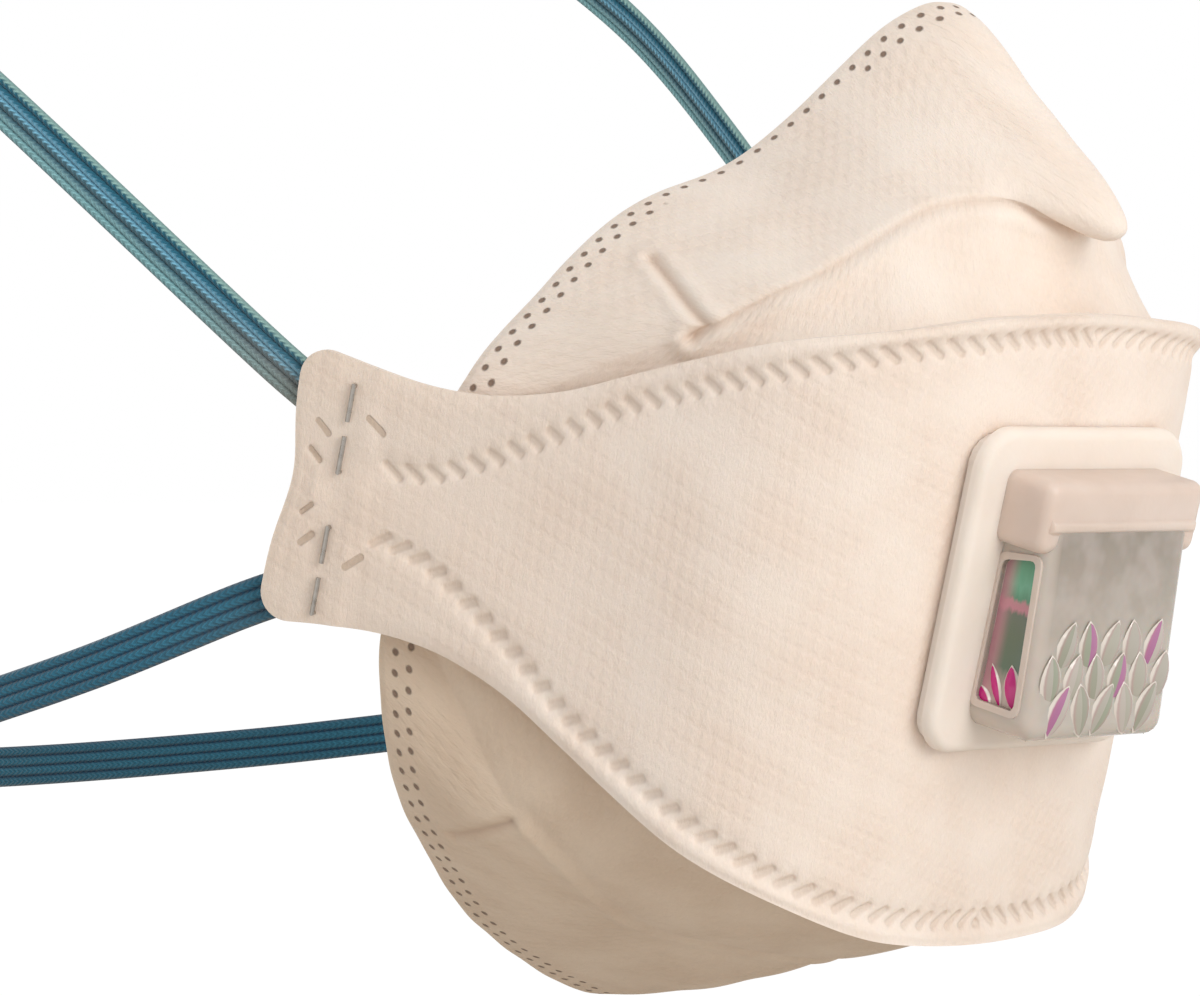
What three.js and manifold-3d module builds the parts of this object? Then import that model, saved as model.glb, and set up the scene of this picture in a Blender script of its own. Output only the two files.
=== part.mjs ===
// A folded-flat respirator opened as it is worn: three cloth panels, an exhalation valve,
// two elastic head straps and the four staples that hold them. Millimetres, +Z up.
// The wearer's face is on the +Y side, and the origin is midway between the two staple lines.
import * as THREE from "three";
import { mergeVertices } from "three/addons/utils/BufferGeometryUtils.js";
import Module from "manifold-3d";

const wasm = await Module();
wasm.setup();

const lean = THREE.MathUtils.degToRad(14.5); // the front panel's top leans forward by this
const cloth = 1.2; // wall of the layered nonwoven
const clear = 0.3; // gap between pieces that touch
const tabReach = 103.2; // from the middle of the front to the tab's end, along the cloth
const tabCorner = 4; // radius of the tab's corners
const weldReach = 90; // where the two weld lines end, along the cloth
const stapleAlong = 96; // the staples' place, along the cloth
const lipFlare = 1.1; // how far the centre panel's free lips curl forward

// How far the centre panel has turned from straight across, at places along it.
const turnRows = [
  { along: 0, degrees: 0 },
  { along: 11, degrees: 0 },
  { along: 51, degrees: 77 },
  { along: 120, degrees: 58 },
];
const turnSoftening = 5; // the turning is averaged over this far on either side

// Half heights of the centre panel's free edge and of its weld line.
const centreRows = [
  { along: 0, edge: 39.0, weld: 36.0 },
  { along: 10, edge: 38.6, weld: 35.7 },
  { along: 20, edge: 37.6, weld: 34.4 },
  { along: 31, edge: 34.8, weld: 31.9 },
  { along: 44, edge: 30.9, weld: 27.2 },
  { along: 55, edge: 26.0, weld: 22.2 },
  { along: 62, edge: 22.6, weld: 18.8 },
  { along: 70, edge: 18.7, weld: 13.4 },
  { along: 78, edge: 16.2, weld: 8.4 },
  { along: 84, edge: 15.4, weld: 5.3 },
  { along: 90, edge: 15.5, weld: 4.2 },
  { along: 103.2, edge: 17.2, weld: 4.2 },
];

// The nose panel's crease and free edge: out from the middle, back from the front, and up.
const noseRows = [
  { along: 0, foldOut: 0, foldBack: 6.5, foldUp: 48.5, edgeOut: 0, edgeBack: 32.6, edgeUp: 70.1 },
  { along: 10, foldOut: 8.6, foldBack: 10.5, foldUp: 50.2, edgeOut: 6, edgeBack: 37.4, edgeUp: 64.8 },
  { along: 20, foldOut: 15.6, foldBack: 14.2, foldUp: 49, edgeOut: 11.5, edgeBack: 40.4, edgeUp: 57 },
  { along: 28, foldOut: 20.5, foldBack: 16, foldUp: 46.4, edgeOut: 15.8, edgeBack: 43, edgeUp: 51 },
  { along: 35, foldOut: 25, foldBack: 18, foldUp: 42.4, edgeOut: 20.5, edgeBack: 46, edgeUp: 45.8 },
  { along: 42, foldOut: 29.4, foldBack: 19.8, foldUp: 38.8, edgeOut: 27.5, edgeBack: 48.6, edgeUp: 42 },
  { along: 49, foldOut: 33, foldBack: 22.8, foldUp: 35.6, edgeOut: 33, edgeBack: 50.6, edgeUp: 37.5 },
  { along: 56, foldOut: 36.2, foldBack: 27, foldUp: 31.4, edgeOut: 38, edgeBack: 51.8, edgeUp: 32.3 },
  { along: 62, foldOut: 38.2, foldBack: 31.5, foldUp: 28, edgeOut: 41.6, edgeBack: 53, edgeUp: 27.3 },
  { along: 70, foldOut: 41.5, foldBack: 42, foldUp: 21, edgeOut: 44.6, edgeBack: 55.4, edgeUp: 21 },
  { along: 78, foldOut: 44.8, foldBack: 51, foldUp: 13, edgeOut: 46.6, edgeBack: 57, edgeUp: 15 },
  { along: 86, foldOut: 47.8, foldBack: 58, foldUp: 7.4, edgeOut: 47.8, edgeBack: 59.2, edgeUp: 9.8 },
  { along: 90, foldOut: 49.5, foldBack: 61.2, foldUp: 5.2, edgeOut: 49.2, edgeBack: 61.4, edgeUp: 6.4 },
];

// The line of the nose panel's ridge in the middle plane: a rounded beak over a tuck.
const ridgeRows = [
  { along: 0, back: 6.5, up: 48.5 },
  { along: 0.07, back: 2.2, up: 47.0 },
  { along: 0.13, back: -0.6, up: 48.6 },
  { along: 0.21, back: 0.9, up: 51.2 },
  { along: 0.34, back: 5, up: 54.2 },
  { along: 0.6, back: 16, up: 61 },
  { along: 0.84, back: 26.6, up: 68.1 },
  { along: 1, back: 32.6, up: 70.1 },
];
const ridgeHalfWidth = 6.5; // how far the ridge's shape reaches to each side

// The chin panel's crease and free edge, in the same way, with heights below the middle.
const chinRows = [
  { along: 0, foldOut: 0, foldBack: 22, foldUp: -48.4, edgeOut: 0, edgeBack: 56, edgeUp: -64.2 },
  { along: 10, foldOut: 8, foldBack: 24.5, foldUp: -48.2, edgeOut: 9, edgeBack: 56.5, edgeUp: -62 },
  { along: 20, foldOut: 15, foldBack: 28.5, foldUp: -47.8, edgeOut: 17, edgeBack: 57.3, edgeUp: -58.2 },
  { along: 28, foldOut: 20.5, foldBack: 31.3, foldUp: -47, edgeOut: 23, edgeBack: 58, edgeUp: -54.5 },
  { along: 35, foldOut: 25, foldBack: 33, foldUp: -45.6, edgeOut: 29, edgeBack: 58.4, edgeUp: -50 },
  { along: 42, foldOut: 29.2, foldBack: 34.6, foldUp: -43.4, edgeOut: 34, edgeBack: 58.2, edgeUp: -45.7 },
  { along: 49, foldOut: 33.4, foldBack: 35.8, foldUp: -40.5, edgeOut: 38.5, edgeBack: 57.8, edgeUp: -41.3 },
  { along: 56, foldOut: 37.3, foldBack: 37.6, foldUp: -37.2, edgeOut: 42.5, edgeBack: 58.2, edgeUp: -36.3 },
  { along: 62, foldOut: 40.2, foldBack: 40.2, foldUp: -33.8, edgeOut: 45.4, edgeBack: 58.6, edgeUp: -31 },
  { along: 70, foldOut: 42.8, foldBack: 46, foldUp: -26.5, edgeOut: 47.6, edgeBack: 59.2, edgeUp: -24.3 },
  { along: 78, foldOut: 45.2, foldBack: 52.3, foldUp: -18, edgeOut: 48.3, edgeBack: 60.4, edgeUp: -17 },
  { along: 86, foldOut: 47.6, foldBack: 57.8, foldUp: -9, edgeOut: 48.2, edgeBack: 60.8, edgeUp: -10 },
  { along: 90, foldOut: 49.4, foldBack: 61.3, foldUp: -5.2, edgeOut: 49.2, edgeBack: 61.6, edgeUp: -6.6 },
];

// How each folded panel swells between its weld, crease and edge.
const noseSwell = { lower: -1.2, upper: 0.8 };
const chinSwell = { lower: 1.6, upper: 1.2 };

const panelColumns = 48; // faces along each folded panel
const panelSteps = 4; // faces from the weld to the crease

const valve = {
  width: 38, bottom: -13.2, top: 24.4, plate: 1.5, corner: 3.5,
  port: 18, sleeveWall: 1.4, sleevePast: 0.6, bar: 1.2,
  hoodHalf: 13.4, hoodBottom: -10.4, hoodTop: 13, hoodShallow: 7.4, hoodDeep: 9.8,
  hoodCorner: 3, hoodWall: 1.1,
  blockHalf: 15.2, blockTop: 20.4, blockDeep: 7, earBottom: 9.6,
  windowBottom: -7.6, windowTop: 8.6, windowNear: 1.6, windowFar: 6.4,
  flapHalf: 10.6, flapDrop: 20, flapThick: 0.4,
};
const valveMiddle = (valve.bottom + valve.top) / 2;

const strapWidth = 5.6;
const strapThick = 1.2;
const strapSteps = 100; // faces along each strap's whole loop
const strapTuck = 3.8; // the strap's end reaches this far past its staple
const strapLeads = 12; // and lies straight this far the other way
// Each strap's way round the head, from the tab to the middle of the back, with the way it faces.
const upperStrap = {
  height: 8,
  stapleHeight: 8,
  rise: 27,
  path: [
    { out: 70, back: 45, up: 49.5, faceOut: 1, faceBack: -0.25, faceUp: 0.05 },
    { out: 75.5, back: 71, up: 69.5, faceOut: 1, faceBack: 0, faceUp: 0.15 },
    { out: 71.5, back: 98, up: 87, faceOut: 0.85, faceBack: 0.35, faceUp: 0.4 },
    { out: 55, back: 121, up: 101, faceOut: 0.6, faceBack: 0.65, faceUp: 0.55 },
    { out: 29, back: 136, up: 108.5, faceOut: 0.3, faceBack: 0.8, faceUp: 0.65 },
    { out: 0, back: 141, up: 111, faceOut: 0, faceBack: 0.8, faceUp: 0.65 },
  ],
};
const lowerStrap = {
  height: -10.5,
  stapleHeight: -9.5,
  rise: -32,
  path: [
    { out: 66, back: 30, up: -21, faceOut: 1, faceBack: -0.15, faceUp: 0 },
    { out: 69, back: 56, up: -28.5, faceOut: 1, faceBack: 0.12, faceUp: 0 },
    { out: 62.5, back: 83, up: -34, faceOut: 0.8, faceBack: 0.5, faceUp: 0 },
    { out: 44, back: 103, up: -37.5, faceOut: 0.5, faceBack: 0.85, faceUp: 0 },
    { out: 22, back: 112, up: -39, faceOut: 0.2, faceBack: 1, faceUp: 0 },
    { out: 0, back: 115, up: -39.5, faceOut: 0, faceBack: 1, faceUp: 0 },
  ],
};

const stapleLength = 11.2;
const stapleWire = 0.6; // diameter
const stapleClinch = 4.4; // each bent-over end
const stapleHole = 1.3; // side of the square hole through the tab

// ---- Helpers ----

const at = (x, y, z) => new THREE.Vector3(x, y, z);

// Reads a column of a table at any place, as a smooth curve through the rows.
function readRows(rows, name, along) {
  const last = rows.length - 1;
  let i = 0;
  while (i < last - 1 && along > rows[i + 1].along) i += 1;
  const slope = (j) => {
    const before = rows[Math.max(j - 1, 0)];
    const after = rows[Math.min(j + 1, last)];
    return (after[name] - before[name]) / (after.along - before.along);
  };
  const from = rows[i];
  const to = rows[i + 1];
  const span = to.along - from.along;
  const t = THREE.MathUtils.clamp((along - from.along) / span, 0, 1);
  const startSlope = i === 0 ? slopeAtMiddle(rows, name) : slope(i);
  const rise = to[name] - from[name];
  const bend = (startSlope + slope(i + 1)) * span - 2 * rise;
  return from[name] + t * (startSlope * span + t * (rise - startSlope * span - bend + t * bend));
}

// A mirrored curve is level in the middle plane; a distance out and the ridge's line aren't.
function slopeAtMiddle(rows, name) {
  if (!name.endsWith("Out") && rows !== ridgeRows) return 0;
  return (rows[1][name] - rows[0][name]) / (rows[1].along - rows[0].along);
}

// Straight-line reading of the turning, averaged so that the bend begins and ends softly.
function turnAt(along) {
  const plain = (place) => {
    const a = Math.abs(place);
    let i = 0;
    while (i < turnRows.length - 2 && a > turnRows[i + 1].along) i += 1;
    const share = (a - turnRows[i].along) / (turnRows[i + 1].along - turnRows[i].along);
    return THREE.MathUtils.lerp(turnRows[i].degrees, turnRows[i + 1].degrees, share);
  };
  let sum = 0;
  const samples = 11;
  for (let k = 0; k < samples; k += 1) {
    sum += plain(along + turnSoftening * (2 * k / (samples - 1) - 1));
  }
  return THREE.MathUtils.degToRad(sum / samples);
}

// The centre panel seen from above, walked out from the middle in half-millimetre steps.
const planStep = 0.5;
const plan = [{ out: 0, back: 0 }];
for (let a = 0; a < tabReach + 5; a += planStep) {
  const turn = turnAt(a + planStep / 2);
  const last = plan[plan.length - 1];
  const out = last.out + planStep * Math.cos(turn);
  const back = last.back + planStep * Math.sin(turn);
  plan.push({ out, back });
}

// A point of the mask: along the cloth from the middle, inward from its face, and up.
function onMask(along, inward, up) {
  const side = Math.sign(along) || 1;
  const reach = Math.abs(along);
  const i = Math.min(Math.floor(reach / planStep), plan.length - 2);
  const share = reach / planStep - i;
  const out = THREE.MathUtils.lerp(plan[i].out, plan[i + 1].out, share);
  const back = THREE.MathUtils.lerp(plan[i].back, plan[i + 1].back, share);
  const turn = turnAt(reach);
  return at(side * (out - inward * Math.sin(turn)), back + inward * Math.cos(turn), up);
}

const staplePlace = onMask(stapleAlong, 0, 0);

// From the mask's own frame, upright and measured from its front, to the part's frame.
function toPart(point) {
  return point.clone().sub(at(0, staplePlace.y, 0)).applyAxisAngle(at(1, 0, 0), lean);
}

function geometryFrom(points, faces) {
  const geometry = new THREE.BufferGeometry();
  const numbers = points.flatMap((p) => [p.x, p.y, p.z]);
  geometry.setAttribute("position", new THREE.Float32BufferAttribute(numbers, 3));
  let volume = 0;
  for (const [a, b, c] of faces) volume += points[a].dot(points[b].clone().cross(points[c]));
  const outward = volume < 0 ? faces.map(([a, b, c]) => [a, c, b]) : faces;
  geometry.setIndex(outward.flat());
  geometry.computeVertexNormals();
  return geometry;
}

// A sheet with two faces: each column is a list of pairs, one point on either face.
function sheetFrom(columns) {
  const steps = columns[0].length;
  const points = columns.flatMap((column) => column.flatMap((pair) => [pair.front, pair.rear]));
  const front = (i, j) => 2 * (i * steps + j);
  const rear = (i, j) => front(i, j) + 1;
  const faces = [];
  const quad = (a, b, c, d) => faces.push([a, b, c], [a, c, d]);
  for (let i = 0; i < columns.length - 1; i += 1) {
    for (let j = 0; j < steps - 1; j += 1) {
      quad(front(i, j), front(i + 1, j), front(i + 1, j + 1), front(i, j + 1));
      quad(rear(i, j), rear(i, j + 1), rear(i + 1, j + 1), rear(i + 1, j));
    }
    quad(front(i, 0), rear(i, 0), rear(i + 1, 0), front(i + 1, 0));
    quad(front(i, steps - 1), front(i + 1, steps - 1), rear(i + 1, steps - 1), rear(i, steps - 1));
  }
  const end = columns.length - 1;
  for (let j = 0; j < steps - 1; j += 1) {
    quad(front(0, j), front(0, j + 1), rear(0, j + 1), rear(0, j));
    quad(front(end, j), rear(end, j), rear(end, j + 1), front(end, j + 1));
  }
  return geometryFrom(points, faces);
}

// A solid through a row of rings that all have the same number of points.
function solidThrough(rings) {
  const count = rings[0].length;
  const points = rings.flat();
  const faces = [];
  for (let i = 0; i < rings.length - 1; i += 1) {
    for (let j = 0; j < count; j += 1) {
      const a = i * count + j;
      const b = i * count + (j + 1) % count;
      faces.push([a, b, b + count], [a, b + count, a + count]);
    }
  }
  const end = (rings.length - 1) * count;
  for (let j = 1; j < count - 1; j += 1) {
    faces.push([0, j + 1, j], [end, end + j, end + j + 1]);
  }
  return geometryFrom(points, faces);
}

function toManifold(geometry) {
  const bare = new THREE.BufferGeometry();
  bare.setAttribute("position", geometry.getAttribute("position"));
  bare.setIndex(geometry.getIndex());
  const merged = mergeVertices(bare, 1e-4);
  return new wasm.Manifold(new wasm.Mesh({
    numProp: 3,
    vertProperties: new Float32Array(merged.getAttribute("position").array),
    triVerts: new Uint32Array(merged.getIndex().array),
  }));
}

function fromManifold(solid) {
  const mesh = solid.getMesh();
  const geometry = new THREE.BufferGeometry();
  geometry.setAttribute("position", new THREE.BufferAttribute(new Float32Array(mesh.vertProperties), 3));
  geometry.setIndex(new THREE.BufferAttribute(new Uint32Array(mesh.triVerts), 1));
  geometry.computeVertexNormals();
  return geometry;
}

function cutFrom(geometry, cutters) {
  const cut = (solid, cutter) => solid.subtract(toManifold(cutter));
  return fromManifold(cutters.reduce(cut, toManifold(geometry)));
}

function joined(geometries) {
  const [first, ...rest] = geometries.map(toManifold);
  return fromManifold(rest.reduce((solid, next) => solid.add(next), first));
}

// A box between two corners, in the mask's own frame.
function boxBetween(left, right, front, rear, bottom, top) {
  const box = new THREE.BoxGeometry(right - left, rear - front, top - bottom);
  return box.translate((left + right) / 2, (front + rear) / 2, (bottom + top) / 2);
}

// A ring with rounded corners in an upright plane that faces the front.
function roundedRing(half, bottom, top, corner, frontAt) {
  const ring = [];
  const cornerSteps = 4;
  const centres = [[1, 1], [-1, 1], [-1, -1], [1, -1]];
  centres.forEach(([sideX, sideZ], quarter) => {
    for (let k = 0; k <= cornerSteps; k += 1) {
      const angle = (quarter + k / cornerSteps) * Math.PI / 2;
      const x = sideX * (half - corner) + corner * Math.cos(angle);
      const z = (sideZ > 0 ? top - corner : bottom + corner) + corner * Math.sin(angle);
      ring.push(at(x, frontAt(z), z));
    }
  });
  return ring;
}

// ---- Cloth panels ----

// The centre panel's half height, with the tab's rounded corners.
function centreEdge(along) {
  const reach = Math.abs(along);
  const intoCorner = Math.max(0, reach - (tabReach - tabCorner));
  const drop = tabCorner - Math.sqrt(Math.max(0, tabCorner ** 2 - intoCorner ** 2));
  return readRows(centreRows, "edge", Math.min(reach, tabReach)) - drop;
}

const centreWeld = (along) => readRows(centreRows, "weld", Math.min(Math.abs(along), weldReach));

// The free lip above the weld curls forward, mostly in the middle of the front.
function lipOffset(along, up) {
  const past = Math.max(0, Math.abs(up) - centreWeld(along));
  const fin = Math.max(centreEdge(along) - centreWeld(along), 0.1);
  return -lipFlare * Math.min(1, past / fin) ** 2 * Math.exp(-((along / 45) ** 2));
}

function centrePanel() {
  const places = [];
  for (let a = -tabReach; a <= tabReach + 1e-6; a += 3) places.push(a);
  for (const a of [tabCorner * 0.62, tabCorner * 0.3, tabCorner * 0.08]) {
    places.push(tabReach - a, a - tabReach);
  }
  places.sort((a, b) => a - b);
  const columns = places.map((along) => {
    const edge = centreEdge(along);
    const weld = Math.min(centreWeld(along), edge - 1);
    const heights = [-edge, -(edge + weld) / 2, -weld, -weld * 0.6, -weld * 0.2,
      weld * 0.2, weld * 0.6, weld, (edge + weld) / 2, edge];
    return heights.map((up) => ({
      front: onMask(along, lipOffset(along, up), up),
      rear: onMask(along, lipOffset(along, up) + cloth, up),
    }));
  });
  const portHole = valve.port / 2 + valve.sleeveWall + clear;
  const cutters = [boxBetween(-portHole, portHole, -5, 8, valveMiddle - portHole, valveMiddle + portHole)];
  for (const side of [-1, 1]) {
    for (const height of [upperStrap.stapleHeight, lowerStrap.stapleHeight]) {
      for (const end of [-1, 1]) {
        const leg = height + end * (stapleLength - stapleWire) / 2;
        const hole = new THREE.BoxGeometry(stapleHole, 12, stapleHole);
        hole.rotateZ(side * turnAt(stapleAlong));
        const middle = onMask(side * stapleAlong, cloth / 2, leg);
        cutters.push(hole.translate(middle.x, middle.y, middle.z));
      }
    }
  }
  return cutFrom(sheetFrom(columns), cutters);
}

// One column of a folded panel's outer face, from the weld over the crease to the free edge.
function foldedPoint(rows, swell, sense, along, share) {
  const side = Math.sign(along) || 1;
  const reach = Math.abs(along);
  const read = (name) => readRows(rows, name, reach);
  const weld = onMask(along, cloth * 2 + clear * 2, sense * (centreWeld(along) + 0.5));
  const fold = at(side * read("foldOut"), read("foldBack"), read("foldUp"));
  const edge = at(side * read("edgeOut"), read("edgeBack"), read("edgeUp"));
  const upper = share > 0.5;
  const t = upper ? share * 2 - 1 : share * 2;
  const point = upper ? fold.lerp(edge, t) : weld.lerp(fold, t);
  const amount = (upper ? swell.upper : swell.lower) * 4 * t * (1 - t) * (1 - (reach / weldReach) ** 4);
  const away = at(point.x * 0.8, point.y - 60, point.z * 0.8).normalize();
  point.addScaledVector(away, amount);
  if (rows === noseRows && upper) {
    const weight = Math.exp(-((point.x / ridgeHalfWidth) ** 2));
    point.y = THREE.MathUtils.lerp(point.y, readRows(ridgeRows, "back", t), weight);
    point.z = THREE.MathUtils.lerp(point.z, readRows(ridgeRows, "up", t), weight);
  }
  return point;
}

// A folded panel: a fin welded behind the centre panel's lip, then the panel itself.
function foldedPanel(rows, swell, sense) {
  const shares = [];
  for (let j = 0; j <= panelSteps; j += 1) shares.push(0.5 * j / panelSteps);
  const upperShares = rows === noseRows ? ridgeRows.map((row) => row.along) : [0.2, 0.4, 0.6, 0.8, 1];
  for (const t of upperShares) if (t > 0) shares.push(0.5 + 0.5 * t);
  const columns = [];
  for (let i = 0; i <= panelColumns; i += 1) {
    const along = weldReach * (2 * i / panelColumns - 1);
    const surface = (a, share) => foldedPoint(rows, swell, sense, a, share);
    const finTop = sense * (centreEdge(along) - 0.4);
    const root = sense * (centreWeld(along) - 0.8);
    const valley = sense * (centreWeld(along) + 0.5);
    const near = cloth + clear;
    const lip = lipOffset(along, finTop);
    const column = [
      { front: onMask(along, near + lip, finTop), rear: onMask(along, near + cloth + lip, finTop) },
      { front: onMask(along, near, root), rear: onMask(along, near + cloth, valley) },
      { front: onMask(along, near + cloth * 2 + clear, root), rear: surface(along, 0) },
    ];
    for (const share of shares.slice(1)) {
      const point = surface(along, share);
      const reach = 0.4;
      const alongEdge = surface(Math.min(along + reach, weldReach), share);
      alongEdge.sub(surface(Math.max(along - reach, -weldReach), share));
      const upEdge = surface(along, Math.min(share + 0.02, 1));
      upEdge.sub(surface(along, Math.max(share - 0.02, 0)));
      const inward = alongEdge.cross(upEdge).normalize().multiplyScalar(-sense * cloth);
      column.push({ front: point.clone().add(inward), rear: point });
    }
    columns.push(column);
  }
  return sheetFrom(columns);
}

// ---- Valve ----

// The seat's plate follows the curve of the cloth, and its sleeve passes through the hole.
function valveSeat() {
  const half = valve.width / 2;
  const outer = clear + valve.plate;
  const columns = [];
  const count = 20;
  for (let i = 0; i <= count; i += 1) {
    const along = half * Math.sin(Math.PI / 2 * (2 * i / count - 1));
    const intoCorner = Math.max(0, Math.abs(along) - (half - valve.corner));
    const drop = valve.corner - Math.sqrt(Math.max(0.02, valve.corner ** 2 - intoCorner ** 2));
    const heights = [valve.bottom + drop, valve.top - drop];
    columns.push(heights.map((up) => ({
      front: onMask(along, -outer, up),
      rear: onMask(along, -clear, up),
    })));
  }
  const port = valve.port / 2;
  const sleeve = port + valve.sleeveWall;
  const inside = cloth + valve.sleevePast;
  const middle = valveMiddle;
  const sleeveBox = boxBetween(-sleeve, sleeve, -clear - 0.6, inside, middle - sleeve, middle + sleeve);
  const portBox = boxBetween(-port, port, -5, 6, middle - port, middle + port);
  const frame = cutFrom(joined([sheetFrom(columns), sleeveBox]), [portBox]);
  const bar = valve.bar / 2;
  const reach = port + 0.5; // the cross's bars run into the sleeve
  const upright = boxBetween(-bar, bar, -clear - 0.6, inside, middle - reach, middle + reach);
  const level = boxBetween(-reach, reach, -clear - 0.6, inside, middle - bar, middle + bar);
  return joined([frame, upright, level]);
}

// The hood's front stands further out at the bottom, where the valve breathes out.
function hoodFront(inset) {
  const { hoodBottom, hoodTop, hoodDeep, hoodShallow } = valve;
  return (z) => {
    const share = THREE.MathUtils.clamp((z - hoodBottom) / (hoodTop - hoodBottom), 0, 1);
    return -(clear + valve.plate) - THREE.MathUtils.lerp(hoodDeep, hoodShallow, share) + inset;
  };
}

function valveCover() {
  const seatFace = -(clear + valve.plate) - clear;
  const { hoodHalf, hoodBottom, hoodTop, hoodCorner, hoodWall, blockHalf, blockTop, blockDeep } = valve;
  const hood = solidThrough([
    roundedRing(hoodHalf + 0.5, hoodBottom, blockTop - 2, hoodCorner, () => seatFace),
    roundedRing(hoodHalf + 0.2, hoodBottom, blockTop - 2, hoodCorner, hoodFront(1)),
    roundedRing(hoodHalf - 0.5, hoodBottom + 0.7, blockTop - 2.7, hoodCorner - 0.5, hoodFront(0)),
  ]);
  const blockFace = seatFace - blockDeep;
  const block = solidThrough([
    roundedRing(blockHalf, valve.earBottom, blockTop, 2, () => seatFace),
    roundedRing(blockHalf, valve.earBottom, blockTop, 2, () => blockFace + 0.8),
    roundedRing(blockHalf - 0.8, valve.earBottom + 0.8, blockTop - 0.8, 1.6, () => blockFace),
  ]);
  const hollow = solidThrough([
    roundedRing(hoodHalf - hoodWall, hoodBottom + hoodWall, blockTop - 3, hoodCorner - 1, () => 1),
    roundedRing(hoodHalf - hoodWall, hoodBottom + hoodWall, blockTop - 3, hoodCorner - 1, hoodFront(hoodWall)),
  ]);
  const { windowBottom, windowTop, windowNear, windowFar } = valve;
  const nearY = seatFace - windowNear;
  const farY = seatFace - windowFar;
  const windows = boxBetween(-30, 30, farY, nearY, windowBottom, windowTop);
  const vent = boxBetween(-hoodHalf + 3, hoodHalf - 3, farY, nearY, hoodBottom - 2, hoodBottom + 3);
  return cutFrom(joined([hood, block]), [hollow, windows, vent]);
}

// A thin film that hangs from the top of the seat and closes its port.
function valveFlap() {
  const columns = [];
  const top = valveMiddle + valve.flapDrop / 2;
  const face = -(clear + valve.plate) - clear;
  for (const x of [-1, -0.5, 0, 0.5, 1].map((t) => t * valve.flapHalf)) {
    const column = [];
    for (let j = 0; j <= 6; j += 1) {
      const share = j / 6;
      const lift = -0.9 * share * share;
      const up = top - valve.flapDrop * share;
      column.push({ front: at(x, face + lift - valve.flapThick, up), rear: at(x, face + lift, up) });
    }
    columns.push(column);
  }
  return sheetFrom(columns);
}

// ---- Straps and staples ----

// Where a strap lies on its tab: places along its straight end, with the tab's outward way.
function strapTabPoints({ height, rise }, side) {
  const slope = THREE.MathUtils.degToRad(rise);
  const turn = turnAt(stapleAlong);
  const outward = at(side * Math.sin(turn), -Math.cos(turn), 0).applyAxisAngle(at(1, 0, 0), lean);
  const start = onMask(side * stapleAlong, cloth + clear + strapThick / 2 + 0.1, height);
  const way = at(side * Math.cos(turn) * Math.cos(slope), Math.sin(turn) * Math.cos(slope), Math.sin(slope));
  return [-strapTuck, 0, strapLeads * 0.5, strapLeads].map((distance) => ({
    place: toPart(start.clone().addScaledVector(way, distance)),
    face: outward,
  }));
}

function headStrap(strap) {
  const half = (side) => [
    ...strapTabPoints(strap, side),
    ...strap.path.map((row) => ({
      place: at(side * row.out, row.back, row.up),
      face: at(side * row.faceOut, row.faceBack, row.faceUp).normalize(),
    })),
  ];
  const stations = [...half(-1), ...half(1).reverse().slice(1)];
  const route = new THREE.CatmullRomCurve3(stations.map((s) => s.place), false, "centripetal");
  const facing = new THREE.CatmullRomCurve3(stations.map((s) => s.face), false, "centripetal");
  const rings = [];
  for (let i = 0; i <= strapSteps; i += 1) {
    const share = route.getUtoTmapping(i / strapSteps);
    const place = route.getPoint(share);
    const tangent = route.getTangent(share);
    const outward = facing.getPoint(share).projectOnPlane(tangent).normalize();
    const across = tangent.clone().cross(outward);
    const w = strapWidth / 2;
    const t = strapThick / 2;
    const corners = [[-w, -t], [w, -t], [w, t], [-w, t]];
    rings.push(corners.map(([a, n]) => place.clone()
      .addScaledVector(across, a)
      .addScaledVector(outward, n)));
  }
  return solidThrough(rings);
}

// A staple: its crown behind the strap, legs through the tab, ends bent towards each other.
function staple(side, height) {
  const reach = (stapleLength - stapleWire) / 2;
  const outside = -clear - stapleWire / 2;
  const inside = cloth + clear * 2 + strapThick + 0.2 + stapleWire / 2;
  const bent = reach - stapleClinch;
  const spots = [[bent, outside], [reach, outside], [reach, inside],
    [-reach, inside], [-reach, outside], [-bent, outside]];
  const points = spots.map(([up, inward]) => onMask(side * stapleAlong, inward, height + up));
  const sideways = onMask(side * (stapleAlong + 1), 0, 0);
  sideways.sub(onMask(side * (stapleAlong - 1), 0, 0)).normalize();
  const rings = points.map((point, i) => {
    const before = point.clone().sub(points[Math.max(i - 1, 0)]).normalize();
    const after = points[Math.min(i + 1, points.length - 1)].clone().sub(point).normalize();
    const tangent = before.clone().add(after).normalize();
    const across = tangent.clone().cross(sideways).normalize();
    const stretch = before.length() && after.length() ? 1 / Math.cos(before.angleTo(after) / 2) : 1;
    const ring = [];
    for (let k = 0; k < 8; k += 1) {
      const angle = (k + 0.5) * Math.PI / 4;
      const r = stapleWire / 2;
      ring.push(point.clone().addScaledVector(sideways, r * Math.cos(angle))
        .addScaledVector(across, r * Math.sin(angle) * stretch));
    }
    return ring;
  });
  return solidThrough(rings);
}

// ---- Materials and the scene ----

function finish(color, roughness, metalness = 0) {
  return new THREE.MeshStandardMaterial({ color, roughness, metalness });
}

const piece = (name, geometry, material) => {
  const mesh = new THREE.Mesh(geometry, material);
  mesh.name = name;
  return mesh;
};

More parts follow.
